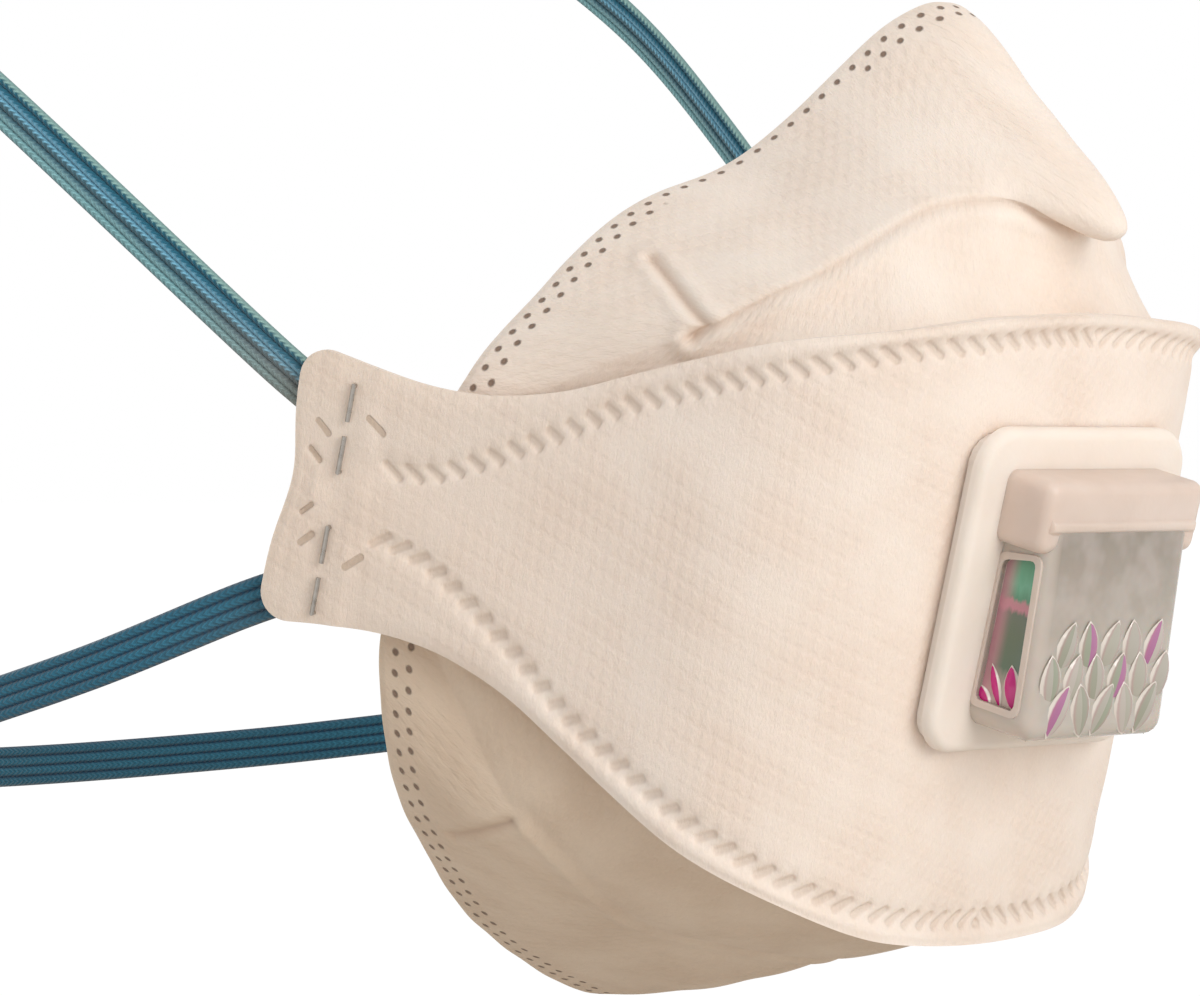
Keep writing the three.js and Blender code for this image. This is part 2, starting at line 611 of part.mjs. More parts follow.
const mask = new THREE.Group();
mask.rotation.x = lean;
mask.position.copy(toPart(at(0, 0, 0)));
mask.add(
  piece("centre_panel", centrePanel(), finish("#f3e9df", 0.95)),
  piece("nose_panel", foldedPanel(noseRows, noseSwell, 1), finish("#f1e6da", 0.95)),
  piece("chin_panel", foldedPanel(chinRows, chinSwell, -1), finish("#efe3d6", 0.95)),
  piece("valve_seat", valveSeat(), finish("#f4ece8", 0.45)),
  piece("valve_flap", valveFlap(), finish("#b9a6c4", 0.15)),
  piece("valve_cover", valveCover(), finish("#ece9e4", 0.3)),
);
for (const [sideName, side] of [["right", -1], ["left", 1]]) {
  for (const [heightName, strap] of [["upper", upperStrap], ["lower", lowerStrap]]) {
    const name = `staple_${sideName}_${heightName}`;
    mask.add(piece(name, staple(side, strap.stapleHeight), finish("#9c9a96", 0.35, 1)));
  }
}

const respirator = new THREE.Group();
respirator.add(
  mask,
  piece("upper_head_strap", headStrap(upperStrap), finish("#4f93a6", 0.85)),
  piece("lower_head_strap", headStrap(lowerStrap), finish("#23607a", 0.85)),
);

export default respirator;
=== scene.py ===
import math
from functools import partial
import bpy
import bmesh
import numpy as np
from mathutils import Matrix, Vector


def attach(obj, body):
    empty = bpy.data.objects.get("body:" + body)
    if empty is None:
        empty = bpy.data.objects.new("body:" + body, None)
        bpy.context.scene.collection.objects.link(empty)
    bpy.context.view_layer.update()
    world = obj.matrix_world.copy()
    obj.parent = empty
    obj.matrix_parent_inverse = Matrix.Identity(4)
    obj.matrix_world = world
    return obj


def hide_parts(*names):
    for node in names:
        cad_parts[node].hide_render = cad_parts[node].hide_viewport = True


# A valved respirator as it is worn: three nonwoven panels, a clear exhalation valve,
# two elastic head straps and four staples. Sizes in the dictionaries are in millimetres.

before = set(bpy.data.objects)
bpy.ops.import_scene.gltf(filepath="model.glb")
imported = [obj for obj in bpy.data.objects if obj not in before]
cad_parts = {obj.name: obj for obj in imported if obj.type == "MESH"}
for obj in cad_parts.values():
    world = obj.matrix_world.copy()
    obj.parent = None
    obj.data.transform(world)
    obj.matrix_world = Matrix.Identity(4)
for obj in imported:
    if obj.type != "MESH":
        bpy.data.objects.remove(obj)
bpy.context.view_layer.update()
bpy.ops.object.select_all(action="DESELECT")
print("frame loaded")

# the shape that the panels share with the frame

shape = {
    "lean": 14.5,        # the front panel's top leans forward by this, in degrees
    "cloth": 1.2,        # wall of the layered nonwoven
    "clear": 0.3,        # between pieces that touch
    "tabReach": 103.2,   # from the middle to the tab's end, along the cloth
    "tabCorner": 4.0,
    "weldReach": 90.0,   # where the weld lines end
    "stapleAlong": 96.0,
    "lipFlare": 1.1,     # how far the free lips curl forward
    "turnSoftening": 5.0,
    "lipReach": 45,      # and how far out along the mask that flare lasts
    "ridgeHalfWidth": 6.5,
    "valleyPast": 0.5,   # the folded panels turn back this far past the weld
}


def table(names, *rows):
    return {name: np.array([row[k] for row in rows], float) for k, name in enumerate(names)}


def eachRow(columns):
    return [dict(zip(columns, row)) for row in zip(*columns.values())]


turnRows = table(("along", "degrees"), (0, 0), (11, 0), (51, 77), (120, 58))

centreRows = table(
    ("along", "edge", "weld"),
    (0, 39.0, 36.0), (10, 38.6, 35.7), (20, 37.6, 34.4), (31, 34.8, 31.9),
    (44, 30.9, 27.2), (55, 26.0, 22.2), (62, 22.6, 18.8), (70, 18.7, 13.4),
    (78, 16.2, 8.4), (84, 15.4, 5.3), (90, 15.5, 4.2), (103.2, 17.2, 4.2),
)

foldNames = ("along", "foldOut", "foldBack", "foldUp", "edgeOut", "edgeBack", "edgeUp")
noseRows = table(
    foldNames,
    (0, 0, 6.5, 48.5, 0, 32.6, 70.1), (10, 8.6, 10.5, 50.2, 6, 37.4, 64.8),
    (20, 15.6, 14.2, 49, 11.5, 40.4, 57), (28, 20.5, 16, 46.4, 15.8, 43, 51),
    (35, 25, 18, 42.4, 20.5, 46, 45.8), (42, 29.4, 19.8, 38.8, 27.5, 48.6, 42),
    (49, 33, 22.8, 35.6, 33, 50.6, 37.5), (56, 36.2, 27, 31.4, 38, 51.8, 32.3),
    (62, 38.2, 31.5, 28, 41.6, 53, 27.3), (70, 41.5, 42, 21, 44.6, 55.4, 21),
    (78, 44.8, 51, 13, 46.6, 57, 15), (86, 47.8, 58, 7.4, 47.8, 59.2, 9.8),
    (90, 49.5, 61.2, 5.2, 49.2, 61.4, 6.4),
)
chinRows = table(
    foldNames,
    (0, 0, 22, -48.4, 0, 56, -64.2), (10, 8, 24.5, -48.2, 9, 56.5, -62),
    (20, 15, 28.5, -47.8, 17, 57.3, -58.2), (28, 20.5, 31.3, -47, 23, 58, -54.5),
    (35, 25, 33, -45.6, 29, 58.4, -50), (42, 29.2, 34.6, -43.4, 34, 58.2, -45.7),
    (49, 33.4, 35.8, -40.5, 38.5, 57.8, -41.3), (56, 37.3, 37.6, -37.2, 42.5, 58.2, -36.3),
    (62, 40.2, 40.2, -33.8, 45.4, 58.6, -31), (70, 42.8, 46, -26.5, 47.6, 59.2, -24.3),
    (78, 45.2, 52.3, -18, 48.3, 60.4, -17), (86, 47.6, 57.8, -9, 48.2, 60.8, -10),
    (90, 49.4, 61.3, -5.2, 49.2, 61.6, -6.6),
)
# the nose ridge in the middle plane: a rounded beak over a tuck
ridgeRows = table(
    ("along", "back", "up"),
    (0, 6.5, 48.5), (0.07, 2.2, 47.0), (0.13, -0.6, 48.6), (0.21, 0.9, 51.2),
    (0.34, 5, 54.2), (0.6, 16, 61), (0.84, 26.6, 68.1), (1, 32.6, 70.1),
)


def readRows(rows, name, along):
    a, v = rows["along"], rows[name]
    slopes = np.empty_like(v)
    slopes[1:-1] = (v[2:] - v[:-2]) / (a[2:] - a[:-2])
    slopes[-1] = (v[-1] - v[-2]) / (a[-1] - a[-2])
    slopes[0] = (v[1] - v[0]) / (a[1] - a[0])
    if rows is not ridgeRows and not name.endswith("Out"):
        slopes[0] = 0  # a mirrored curve is level in the middle plane
    i = np.clip(np.searchsorted(a, along, side="left") - 1, 0, len(a) - 2)
    span = a[i + 1] - a[i]
    t = np.clip((along - a[i]) / span, 0, 1)
    rise = v[i + 1] - v[i]
    start = slopes[i] * span
    bend = start + slopes[i + 1] * span - 2 * rise
    return v[i] + t * (start + t * (rise - start - bend + t * bend))


def turnAt(along):
    reach = np.asarray(along, float)
    total = np.zeros_like(reach)
    for k in range(11):
        place = np.abs(reach + shape["turnSoftening"] * (k / 5 - 1))
        total += np.interp(place, turnRows["along"], turnRows["degrees"])
    return np.radians(total / 11)


planStep = 0.5
planReach = np.arange(0, shape["tabReach"] + 6, planStep)
planTurn = turnAt(planReach[:-1] + planStep / 2)
planOut = np.concatenate([[0], np.cumsum(planStep * np.cos(planTurn))])
planBack = np.concatenate([[0], np.cumsum(planStep * np.sin(planTurn))])


def onMask(along, inward, up):
    along, inward, up = np.broadcast_arrays(along, inward, up)
    side = np.where(along < 0, -1.0, 1.0)
    reach = np.abs(along)
    turn = turnAt(reach)
    out = np.interp(reach, planReach, planOut) - inward * np.sin(turn)
    back = np.interp(reach, planReach, planBack) + inward * np.cos(turn)
    return np.stack([side * out, back, up], -1)


stapleBack = float(onMask(shape["stapleAlong"], 0, 0)[1])
lean = math.radians(shape["lean"])


def toPart(points):
    y = points[..., 1] - stapleBack
    z = points[..., 2]
    back = y * math.cos(lean) - z * math.sin(lean)
    up = y * math.sin(lean) + z * math.cos(lean)
    return np.stack([points[..., 0], back, up], -1) * 0.001


def centreEdge(along):
    reach = np.abs(along)
    corner = shape["tabCorner"]
    into = np.maximum(0, reach - (shape["tabReach"] - corner))
    drop = corner - np.sqrt(np.maximum(0, corner ** 2 - into ** 2))
    return readRows(centreRows, "edge", np.minimum(reach, shape["tabReach"])) - drop


def centreWeld(along):
    return readRows(centreRows, "weld", np.minimum(np.abs(along), shape["weldReach"]))


def hump(distance, width):
    return np.exp(-((distance / width) ** 2))


def lipOffset(along, up):
    past = np.maximum(0, np.abs(up) - centreWeld(along))
    fin = np.maximum(centreEdge(along) - centreWeld(along), 0.1)
    return -shape["lipFlare"] * np.minimum(1, past / fin) ** 2 * hump(along, shape["lipReach"])


# cloth sheets

def softly(low, high, value):
    t = np.clip((value - low) / (high - low), 0, 1)
    return t * t * (3 - 2 * t)


def ripple(points, size, phase):
    # a smooth unevenness of about one size, from a few crossed waves
    ways = ((1, 0.3, 0.2), (-0.4, 1, 0.3), (0.2, -0.5, 1), (0.7, 0.6, -0.6), (-0.6, 0.4, 0.9))
    total = 0
    for k, way in enumerate(ways):
        along = points[..., 0] * way[0] + points[..., 1] * way[1] + points[..., 2] * way[2]
        total = total + np.sin(along * (6.3 / size) * (0.8 + 0.13 * k) + phase * (k + 1))
    return total / len(ways)


def unevenness(points, look):
    (wide, wideStart), (narrow, narrowStart) = look["waves"]
    fineWave = look["fineShare"] * ripple(points, narrow, narrowStart)
    return look["soft"] * (ripple(points, wide, wideStart) + fineWave)


def smooth(piece, degrees):
    bpy.ops.object.select_all(action="DESELECT")
    bpy.context.view_layer.objects.active = piece
    piece.select_set(True)
    bpy.ops.object.shade_smooth_by_angle(angle=math.radians(degrees))
    piece.select_set(False)


def makeShell(name, outer, inner, values, keep=None):
    # a closed two-faced sheet on a grid of columns and rows, with its places kept as attributes
    columns, rows = outer.shape[:2]
    count = columns * rows
    points = np.concatenate([outer.reshape(-1, 3), inner.reshape(-1, 3)])
    index = np.arange(count).reshape(columns, rows)
    a, b, c, d = index[:-1, :-1], index[1:, :-1], index[1:, 1:], index[:-1, 1:]
    if keep is None:
        keep = np.ones(a.shape, bool)
    faces = [np.stack([a, b, c, d], -1)[keep], np.stack([a, d, c, b], -1)[keep] + count]
    around = np.pad(keep, 1)
    walls = (
        (a, d, around[:-2, 1:-1]), (c, b, around[2:, 1:-1]),
        (b, a, around[1:-1, :-2]), (d, c, around[1:-1, 2:]),
    )
    for p, q, beyond in walls:
        bare = keep & ~beyond
        faces.append(np.stack([p, q, q + count, p + count], -1)[bare])
    faces = np.concatenate(faces)
    v = points[faces]
    volume = np.einsum("ij,ij->i", v[:, 0], np.cross(v[:, 1], v[:, 2])).sum()
    if volume < 0:
        faces = faces[:, ::-1]
    used = np.zeros(len(points), bool)
    used[faces.ravel()] = True
    renumber = np.cumsum(used) - 1
    mesh = bpy.data.meshes.new(name)
    mesh.from_pydata(points[used].tolist(), [], renumber[faces].tolist())
    for label, value in values.items():
        both = np.concatenate([value.reshape(-1, 3), value.reshape(-1, 3)])[used]
        layer = mesh.attributes.new(label, "FLOAT_VECTOR", "POINT")
        layer.data.foreach_set("vector", both.astype(np.float32).ravel())
    mesh.update()
    piece = bpy.data.objects.new(name, mesh)
    bpy.context.scene.collection.objects.link(piece)
    smooth(piece, 40)
    return piece


centre = {
    "dashPitch": 2.7,      # between weld dashes, along the weld
    "dashLength": 3.4,
    "dashWidth": 0.8,
    "dashTurn": 39.0,      # degrees from the weld line, inner end towards the middle
    "dashStart": 89.5,
    "dashDepth": 0.4,
    "weldFade": (94.5, 93.5),   # the dashes end between these, along the cloth
    "weldPress": 0.22,     # the shallow groove under the dashes, and its width
    "weldWidth": 1.1,
    "pressFade": (92, 89),
    "puff": 0.22,          # how far the lip swells past the weld, and where it starts and ends
    "puffFrom": (0.7, 1.9),
    "puffTo": (0, 1.4),
    "soft": 0.3,           # unevenness of the whole panel, its waves' sizes and starts
    "waves": ((34, 1.3), (11, 4.1)),
    "fineShare": 0.35,
    "calmFrom": (0, -4),   # no unevenness at the weld or under the valve
    "calmOut": (26, 20),
    "calmLow": (-19, -14),
    "calmHigh": (30, 25),
    "innerShare": 0.8,     # how much of it the inner face follows
    "markDepth": 0.3,
    "rimWidth": 1.1,       # the cut edges are pressed thinner, by rimThin on each face
    "rimThin": 0.25,
    "holeHalf": 11.1,      # the valve's port through the cloth
    "holeMiddle": 5.6,
    "bandHalf": 1.4,       # fine rows on either side of the weld
    "tabWaist": 1.4,       # how far the tab's end is drawn in between the straps
    "waistFrom": 97.5,
    "waistUp": 1.0,
    "waistHalf": 6.5,
    "staplePress": 0.3,    # soft ridges on either side of the line of staples
    "ridgeAway": 2.9,
    "ridgeWidth": 1.5,
    "ridgeBeat": 0.75,     # radians per millimetre of height
}

# marks pressed into each tab: place of the middle, length, width and slope
tabMarks = table(
    ("along", "up", "length", "width", "degrees"),
    (99.1, 7.5, 3.0, 1.0, 37), (99.85, 4.05, 3.0, 0.9, 32), (92.5, 9.1, 3.4, 0.95, 35),
    (99.6, -2.6, 2.6, 0.8, -40), (98.7, -6.2, 2.7, 1.0, -45), (92.3, -7.65, 3.3, 1.0, -44),
)


def dashMask(arc, across, look):
    # 1 inside a slanted dash, falling softly to 0 outside it
    turn = math.radians(look["dashTurn"])
    s = arc - across / math.tan(turn)
    near = s - look["dashPitch"] * np.round(s / look["dashPitch"])
    beside = near * math.sin(turn)
    lengthwise = across / math.sin(turn) + near * math.cos(turn)
    radius = look["dashWidth"] / 2
    past = np.maximum(np.abs(lengthwise) - (look["dashLength"] / 2 - radius), 0)
    mask = 1 - softly(radius * 0.2, radius * 2.0, np.hypot(past, beside))
    return mask * (s < look["dashPitch"] / 2)


def tabMarkMask(along, up):
    total = np.zeros_like(up)
    for mark in eachRow(tabMarks):
        slope = math.radians(mark["degrees"])
        dx = np.abs(along) - mark["along"]
        dz = up - mark["up"]
        lengthwise = np.abs(dx * math.cos(slope) + dz * math.sin(slope))
        beside = -dx * math.sin(slope) + dz * math.cos(slope)
        radius = mark["width"] / 2
        past = np.maximum(lengthwise - (mark["length"] / 2 - radius), 0)
        total = np.maximum(total, 1 - softly(radius * 0.6, radius * 1.5, np.hypot(past, beside)))
    return total


def makeCentrePanel(look):
    reach = np.linspace(0, shape["tabReach"], 2400)
    slope = np.gradient(centreWeld(reach), reach)
    arc = np.concatenate([[0], np.cumsum(np.hypot(1, slope)[1:] * np.diff(reach))])
    start = float(np.interp(look["dashStart"], reach, arc))
    step = look["dashPitch"] / 6
    arcs = np.arange(start % step, arc[-1], step)
    places = np.interp(arcs, arc, reach)
    places = places[(places > 0.2) & (places < shape["tabReach"] - 0.3)]
    ends = shape["tabReach"] - np.array([0.22, 0.06, 0.0])
    half = np.concatenate([places, ends])
    along = np.concatenate([-half[::-1], [0], half])[:, None]
    edge, weld = centreEdge(along), centreWeld(along)
    near = look["bandHalf"]
    parts = [
        (weld - near) * np.linspace(0, 1, 31)[None, :],
        (weld - near) + 2 * near * np.linspace(0, 1, 11)[None, 1:],
        (weld + near) + (edge - weld - near) * np.linspace(0, 1, 7)[None, 1:],
    ]
    upper = np.concatenate(parts, 1)
    up = np.concatenate([-upper[:, :0:-1], upper], 1)
    along = np.broadcast_to(along, up.shape)
    weldSlope = np.interp(np.abs(along), reach, slope)
    arcPlace = np.interp(np.abs(along), reach, arc) - start
    across = (np.abs(up) - centreWeld(along)) / np.hypot(1, weldSlope)
    flat = onMask(along, 0, up)
    out, toEdge, toEnd = np.abs(along), edge - np.abs(up), shape["tabReach"] - np.abs(along)
    welded = softly(*look["weldFade"], out)
    pressed = softly(*look["pressFade"], out)
    dashes = dashMask(arcPlace, across, look) * welded
    underValve = softly(*look["calmOut"], out) * softly(*look["calmLow"], up) * softly(*look["calmHigh"], up)
    wave = unevenness(flat, look) * (softly(*look["calmFrom"], across) * (1 - underValve))
    rise = wave - look["weldPress"] * hump(across, look["weldWidth"]) * pressed
    puffed = softly(*look["puffFrom"], across) * pressed * softly(*look["puffTo"], toEdge)
    rise = rise + look["puff"] * puffed
    rise = rise - look["dashDepth"] * dashes - look["markDepth"] * tabMarkMask(along, up)
    for side in (-1, 1):
        ridge = hump(out - shape["stapleAlong"] + side * look["ridgeAway"], look["ridgeWidth"])
        rise = rise + look["staplePress"] * ridge * (0.6 + 0.4 * np.cos(up * look["ridgeBeat"]))
    waist = look["tabWaist"] * softly(look["waistFrom"], shape["tabReach"], out)
    waist = waist * hump(up - look["waistUp"], look["waistHalf"])
    placed = along - np.sign(along) * waist
    lip = lipOffset(along, up)
    thin = look["rimThin"] * np.minimum(softly(look["rimWidth"], 0, toEdge) + softly(1, 0, toEnd), 1)
    outer = toPart(onMask(placed, lip - rise + thin, up))
    inner = toPart(onMask(placed, lip + shape["cloth"] - wave * look["innerShare"] - thin, up))
    middleAlong = (along[1:, 1:] + along[:-1, :-1]) / 2
    middleUp = (up[1:, 1:] + up[:-1, :-1]) / 2 - look["holeMiddle"]
    hole = (np.abs(middleAlong) < look["holeHalf"]) & (np.abs(middleUp) < look["holeHalf"])
    values = {
        "clothPlace": np.stack([along, up, np.zeros_like(up)], -1),
        "seamPlace": np.stack([arcPlace, across, welded], -1),
    }
    return makeShell("centrePanel", outer, inner, values, ~hole)


# what the two folded panels share
folded = {
    "swellMiddle": 60,          # they swell away from a place this far behind the front
    "swellLevel": 0.8,          # and a little more backward than sideways or up
    "waves": ((30, 2.2), (10, 0.7)),
    "fineShare": 0.4,
    "freeFrom": (0, 5),         # the unevenness starts past the weld and ends before the sides
    "freeTo": (88, 78),
    "rollWidth": 1.2,           # of the roll beside the fold, then of the pinched line
    "pinchWidth": 0.65,
    "bankRise": 0.25,           # the cloth stands up a little on either side of the pinch
    "bankAway": 1.6,
    "bankWidth": 0.9,
    "creaseWidth": 0.6,         # width of the painted shade along each crease
    "foldCrease": 0.55,
    "rimWidth": 1.2,
    "rimThin": 0.28,
    "finTip": 0.4,              # the fin ends this far below the centre panel's lip
    "finRoot": 0.8,
}
nose = {
    **folded, "name": "nosePanel", "rows": noseRows, "sense": 1, "swellLower": -1.2, "swellUpper": 0.8,
    "dotPitch": 2.6, "dotIn": 1.75, "secondIn": 3.55, "soft": 0.35, "lowerRows": 40, "upperRows": 52,
    # the fold across the panel, then the short pinch up from its end, with what each raises (mm)
    "fold": table(("along", "share"), (0, 0.485), (50, 0.485), (60, 0.445)),
    "pinch": table(("along", "share"), (60, 0.445), (51.7, 0.815)),
    "foldRise": -0.5, "foldWidth": 0.75, "rollRise": 0.4, "rollAway": 1.9, "pinchRise": -0.6,
}
chin = {
    **folded, "name": "chinPanel", "rows": chinRows, "sense": -1, "swellLower": 1.6, "swellUpper": 1.2,
    "dotPitch": 2.5, "dotIn": 2.6, "secondIn": 4.6, "soft": 0.4, "lowerRows": 42, "upperRows": 50,
    "fold": table(("along", "share"), (0, 0.5), (61, 0.5)),
    "pinch": table(("along", "share"), (61.1, 0.54), (53.6, 0.82)),
    "foldRise": 0.4, "foldWidth": 1.1, "rollRise": -0.25, "rollAway": 2.2, "pinchRise": -0.5,
}


def foldedPoint(look, along, share):
    rows, sense = look["rows"], look["sense"]
    along, share = np.broadcast_arrays(along, share)
    side = np.where(along < 0, -1.0, 1.0)
    reach = np.abs(along)
    lines = []
    for name in ("fold", "edge"):
        out = side * readRows(rows, name + "Out", reach)
        back, up = readRows(rows, name + "Back", reach), readRows(rows, name + "Up", reach)
        lines.append(np.stack([out, back, up], -1))
    fold, edge = lines
    inward = 2 * (shape["cloth"] + shape["clear"])
    weld = onMask(along, inward, sense * (centreWeld(along) + shape["valleyPast"]))
    upper = share > 0.5
    t = np.where(upper, share * 2 - 1, share * 2)
    start = np.where(upper[..., None], fold, weld)
    end = np.where(upper[..., None], edge, fold)
    point = start + (end - start) * t[..., None]
    swell = np.where(upper, look["swellUpper"], look["swellLower"])
    amount = swell * 4 * t * (1 - t) * (1 - (reach / shape["weldReach"]) ** 4)
    away = point * (look["swellLevel"], 1, look["swellLevel"]) - (0, look["swellMiddle"], 0)
    away /= np.linalg.norm(away, axis=-1, keepdims=True)
    point = point + away * amount[..., None]
    if rows is noseRows:
        weight = hump(point[..., 0], shape["ridgeHalfWidth"]) * upper
        back = readRows(ridgeRows, "back", t)
        up = readRows(ridgeRows, "up", t)
        point[..., 1] += (back - point[..., 1]) * weight
        point[..., 2] += (up - point[..., 2]) * weight
    return point


def blur(points, passes, axis):
    for _ in range(passes):
        moved = np.moveaxis(points, axis, 0).copy()
        moved[1:-1] = (moved[:-2] + 2 * moved[1:-1] + moved[2:]) / 4
        points = np.moveaxis(moved, 0, axis)
    return points


def fromLine(body, look, line):
    # distance of each place from a crease on the panel, the same on both halves
    t = np.linspace(0, 1, 300)
    stops = np.linspace(0, 1, len(line["along"]))
    track = foldedPoint(look, np.interp(t, stops, line["along"]), np.interp(t, stops, line["share"]))
    nearest = np.full(body.shape[:2], 1e9)
    for place in track:
        gap = np.sqrt((np.abs(body[..., 0]) - place[0]) ** 2 + (body[..., 1] - place[1]) ** 2
                      + (body[..., 2] - place[2]) ** 2)
        nearest = np.minimum(nearest, gap)
    return nearest


def makeFoldedPanel(look):
    sense, cloth, clear = look["sense"], shape["cloth"], shape["clear"]
    fine = np.linspace(0, shape["weldReach"], 1800)
    edgeLine = foldedPoint(look, fine, np.ones_like(fine))
    steps = np.linalg.norm(np.diff(edgeLine, axis=0), axis=1)
    arc = np.concatenate([[0], np.cumsum(steps)])
    step = look["dotPitch"] / 6
    half = np.interp(np.arange(step / 2, arc[-1] - step / 3, step), arc, fine)
    half = np.concatenate([half, [shape["weldReach"]]])
    along = np.concatenate([-half[::-1], half])[:, None]
    lower = np.linspace(0, 0.5, look["lowerRows"])
    upper = 0.5 + 0.5 * np.linspace(0, 1, look["upperRows"])[1:] ** 1.12
    share = np.concatenate([lower, upper])[None, :]
    body = foldedPoint(look, along, share)
    body = blur(blur(body, 3, 1), 2, 0)
    du = np.gradient(body, axis=0)
    dv = np.gradient(body, axis=1)
    inward = np.cross(du, dv)
    inward *= -sense / np.maximum(np.linalg.norm(inward, axis=-1, keepdims=True), 1e-9)
    gaps = np.linalg.norm(np.diff(body, axis=1), axis=-1)
    none = np.zeros((len(along), 1))
    fromEdge = np.concatenate([np.cumsum(gaps[:, ::-1], 1)[:, ::-1], none], 1)
    fromWeld = np.concatenate([none, np.cumsum(gaps, 1)], 1)
    arcPlace = np.sign(along) * np.interp(np.abs(along), fine, arc) + 0 * fromEdge
    free = softly(*look["freeFrom"], fromWeld) * softly(*look["freeTo"], np.abs(along))
    toFold, toPinch = fromLine(body, look, look["fold"]), fromLine(body, look, look["pinch"])
    below = softly(0.52, 0.48, share + 0 * toFold)
    wave = unevenness(body, look) * free
    wave = wave + look["foldRise"] * hump(toFold, look["foldWidth"])
    wave = wave + look["rollRise"] * hump(toFold - look["rollAway"], look["rollWidth"]) * below
    wave = wave + look["pinchRise"] * hump(toPinch, look["pinchWidth"])
    wave = wave + look["bankRise"] * hump(toPinch - look["bankAway"], look["bankWidth"])
    # where the painted crease shade lies, kept for the material
    crease = hump(toPinch, look["creaseWidth"])
    if look["foldRise"] < 0:
        crease = np.maximum(crease, look["foldCrease"] * hump(toFold, look["creaseWidth"]))
    thin = look["rimThin"] * softly(look["rimWidth"], 0, fromEdge)
    outer = body - inward * (wave - thin)[..., None]
    inner = body + inward * (cloth - wave - thin)[..., None]
    # the fin behind the centre panel's lip, then the hairpin at its root
    near = cloth + clear
    tip = sense * (centreEdge(along) - look["finTip"])
    root = sense * (centreWeld(along) - look["finRoot"])
    valley = sense * (centreWeld(along) + shape["valleyPast"])
    lip = lipOffset(along, tip)
    down = np.linspace(0, 1, 7)[None, :]
    finFront = onMask(along, near + lip * (1 - down) ** 2, tip + (root - tip) * down)
    finRear = onMask(along, near + cloth + lip * (1 - down) ** 2, tip + (valley - tip) * down)
    bendFront = onMask(along, near + cloth * 2 + clear, root)
    outer = np.concatenate([finRear, outer], 1)
    inner = np.concatenate([finFront, bendFront, inner[:, 1:]], 1)
    extra = finFront.shape[1]
    fromEdge = np.pad(fromEdge, ((0, 0), (extra, 0)), mode="edge")
    fromWeld = np.pad(fromWeld, ((0, 0), (extra, 0)), constant_values=-1)
    arcPlace = np.pad(arcPlace, ((0, 0), (extra, 0)), mode="edge")
    crease = np.pad(crease, ((0, 0), (extra, 0)))
    reach = np.broadcast_to(np.abs(along), fromEdge.shape)
    values = {
        "clothPlace": np.stack([arcPlace, fromWeld, crease], -1),
        "seamPlace": np.stack([arcPlace, fromEdge, reach], -1),
    }
    return makeShell(look["name"], toPart(outer), toPart(inner), values)


centrePanel = makeCentrePanel(centre)
print("centre panel made", len(centrePanel.data.polygons))
nosePanel = makeFoldedPanel(nose)
chinPanel = makeFoldedPanel(chin)
print("folded panels made", len(nosePanel.data.polygons), len(chinPanel.data.polygons))

# elastic straps

band = {
    "width": 5.6, "thick": 1.2, "groove": 0.34, "step": 1.1,
    "tuck": 3.8, "lead": 12.0,    # straight past the staple, and on the other side of it
    "lift": 0.1,                  # off the tab
    "ribRows": 6, "ribShape": 0.6, "sideRound": 10, "sideLeast": 0.04,
    "samples": 4001,              # along the curve, to measure its length
}
pathNames = ("out", "back", "up", "faceOut", "faceBack", "faceUp")
upperStrap = {
    "name": "upperStrap", "height": 8.0, "rise": 27.0, "ribs": 5,
    "path": table(
        pathNames,
        (70, 45, 49.5, 1, -0.25, 0.05), (75.5, 71, 69.5, 1, 0, 0.15), (71.5, 98, 87, 0.85, 0.35, 0.4),
        (55, 121, 101, 0.6, 0.65, 0.55), (29, 136, 108.5, 0.3, 0.8, 0.65), (0, 141, 111, 0, 0.8, 0.65),
    ),
}
lowerStrap = {
    "name": "lowerStrap", "height": -10.5, "rise": -32.0, "ribs": 4,
    "path": table(
        pathNames,
        (66, 30, -21, 1, -0.15, 0), (69, 56, -28.5, 1, 0.12, 0), (62.5, 83, -34, 0.8, 0.5, 0),
        (44, 103, -37.5, 0.5, 0.85, 0), (22, 112, -39, 0.2, 1, 0), (0, 115, -39.5, 0, 1, 0),
    ),
}


def strapStations(strap, side):
    slope = math.radians(strap["rise"])
    turn = float(turnAt(shape["stapleAlong"]))
    inward = shape["cloth"] + shape["clear"] + band["thick"] / 2 + band["lift"]
    start = onMask(side * shape["stapleAlong"], inward, strap["height"])
    level = math.cos(slope)
    way = np.array([side * math.cos(turn) * level, math.sin(turn) * level, math.sin(slope)])
    ahead = -math.cos(turn)
    face = np.array([side * math.sin(turn), ahead * math.cos(lean), ahead * math.sin(lean)])
    places, faces = [], []
    for distance in (-band["tuck"], 0, band["lead"] / 2, band["lead"]):
        places.append(toPart(start + way * distance) * 1000)
        faces.append(face)
    for stop in eachRow(strap["path"]):
        places.append([side * stop["out"], stop["back"], stop["up"]])
        facing = np.array([side * stop["faceOut"], stop["faceBack"], stop["faceUp"]])
        faces.append(facing / np.linalg.norm(facing))
    return places, faces


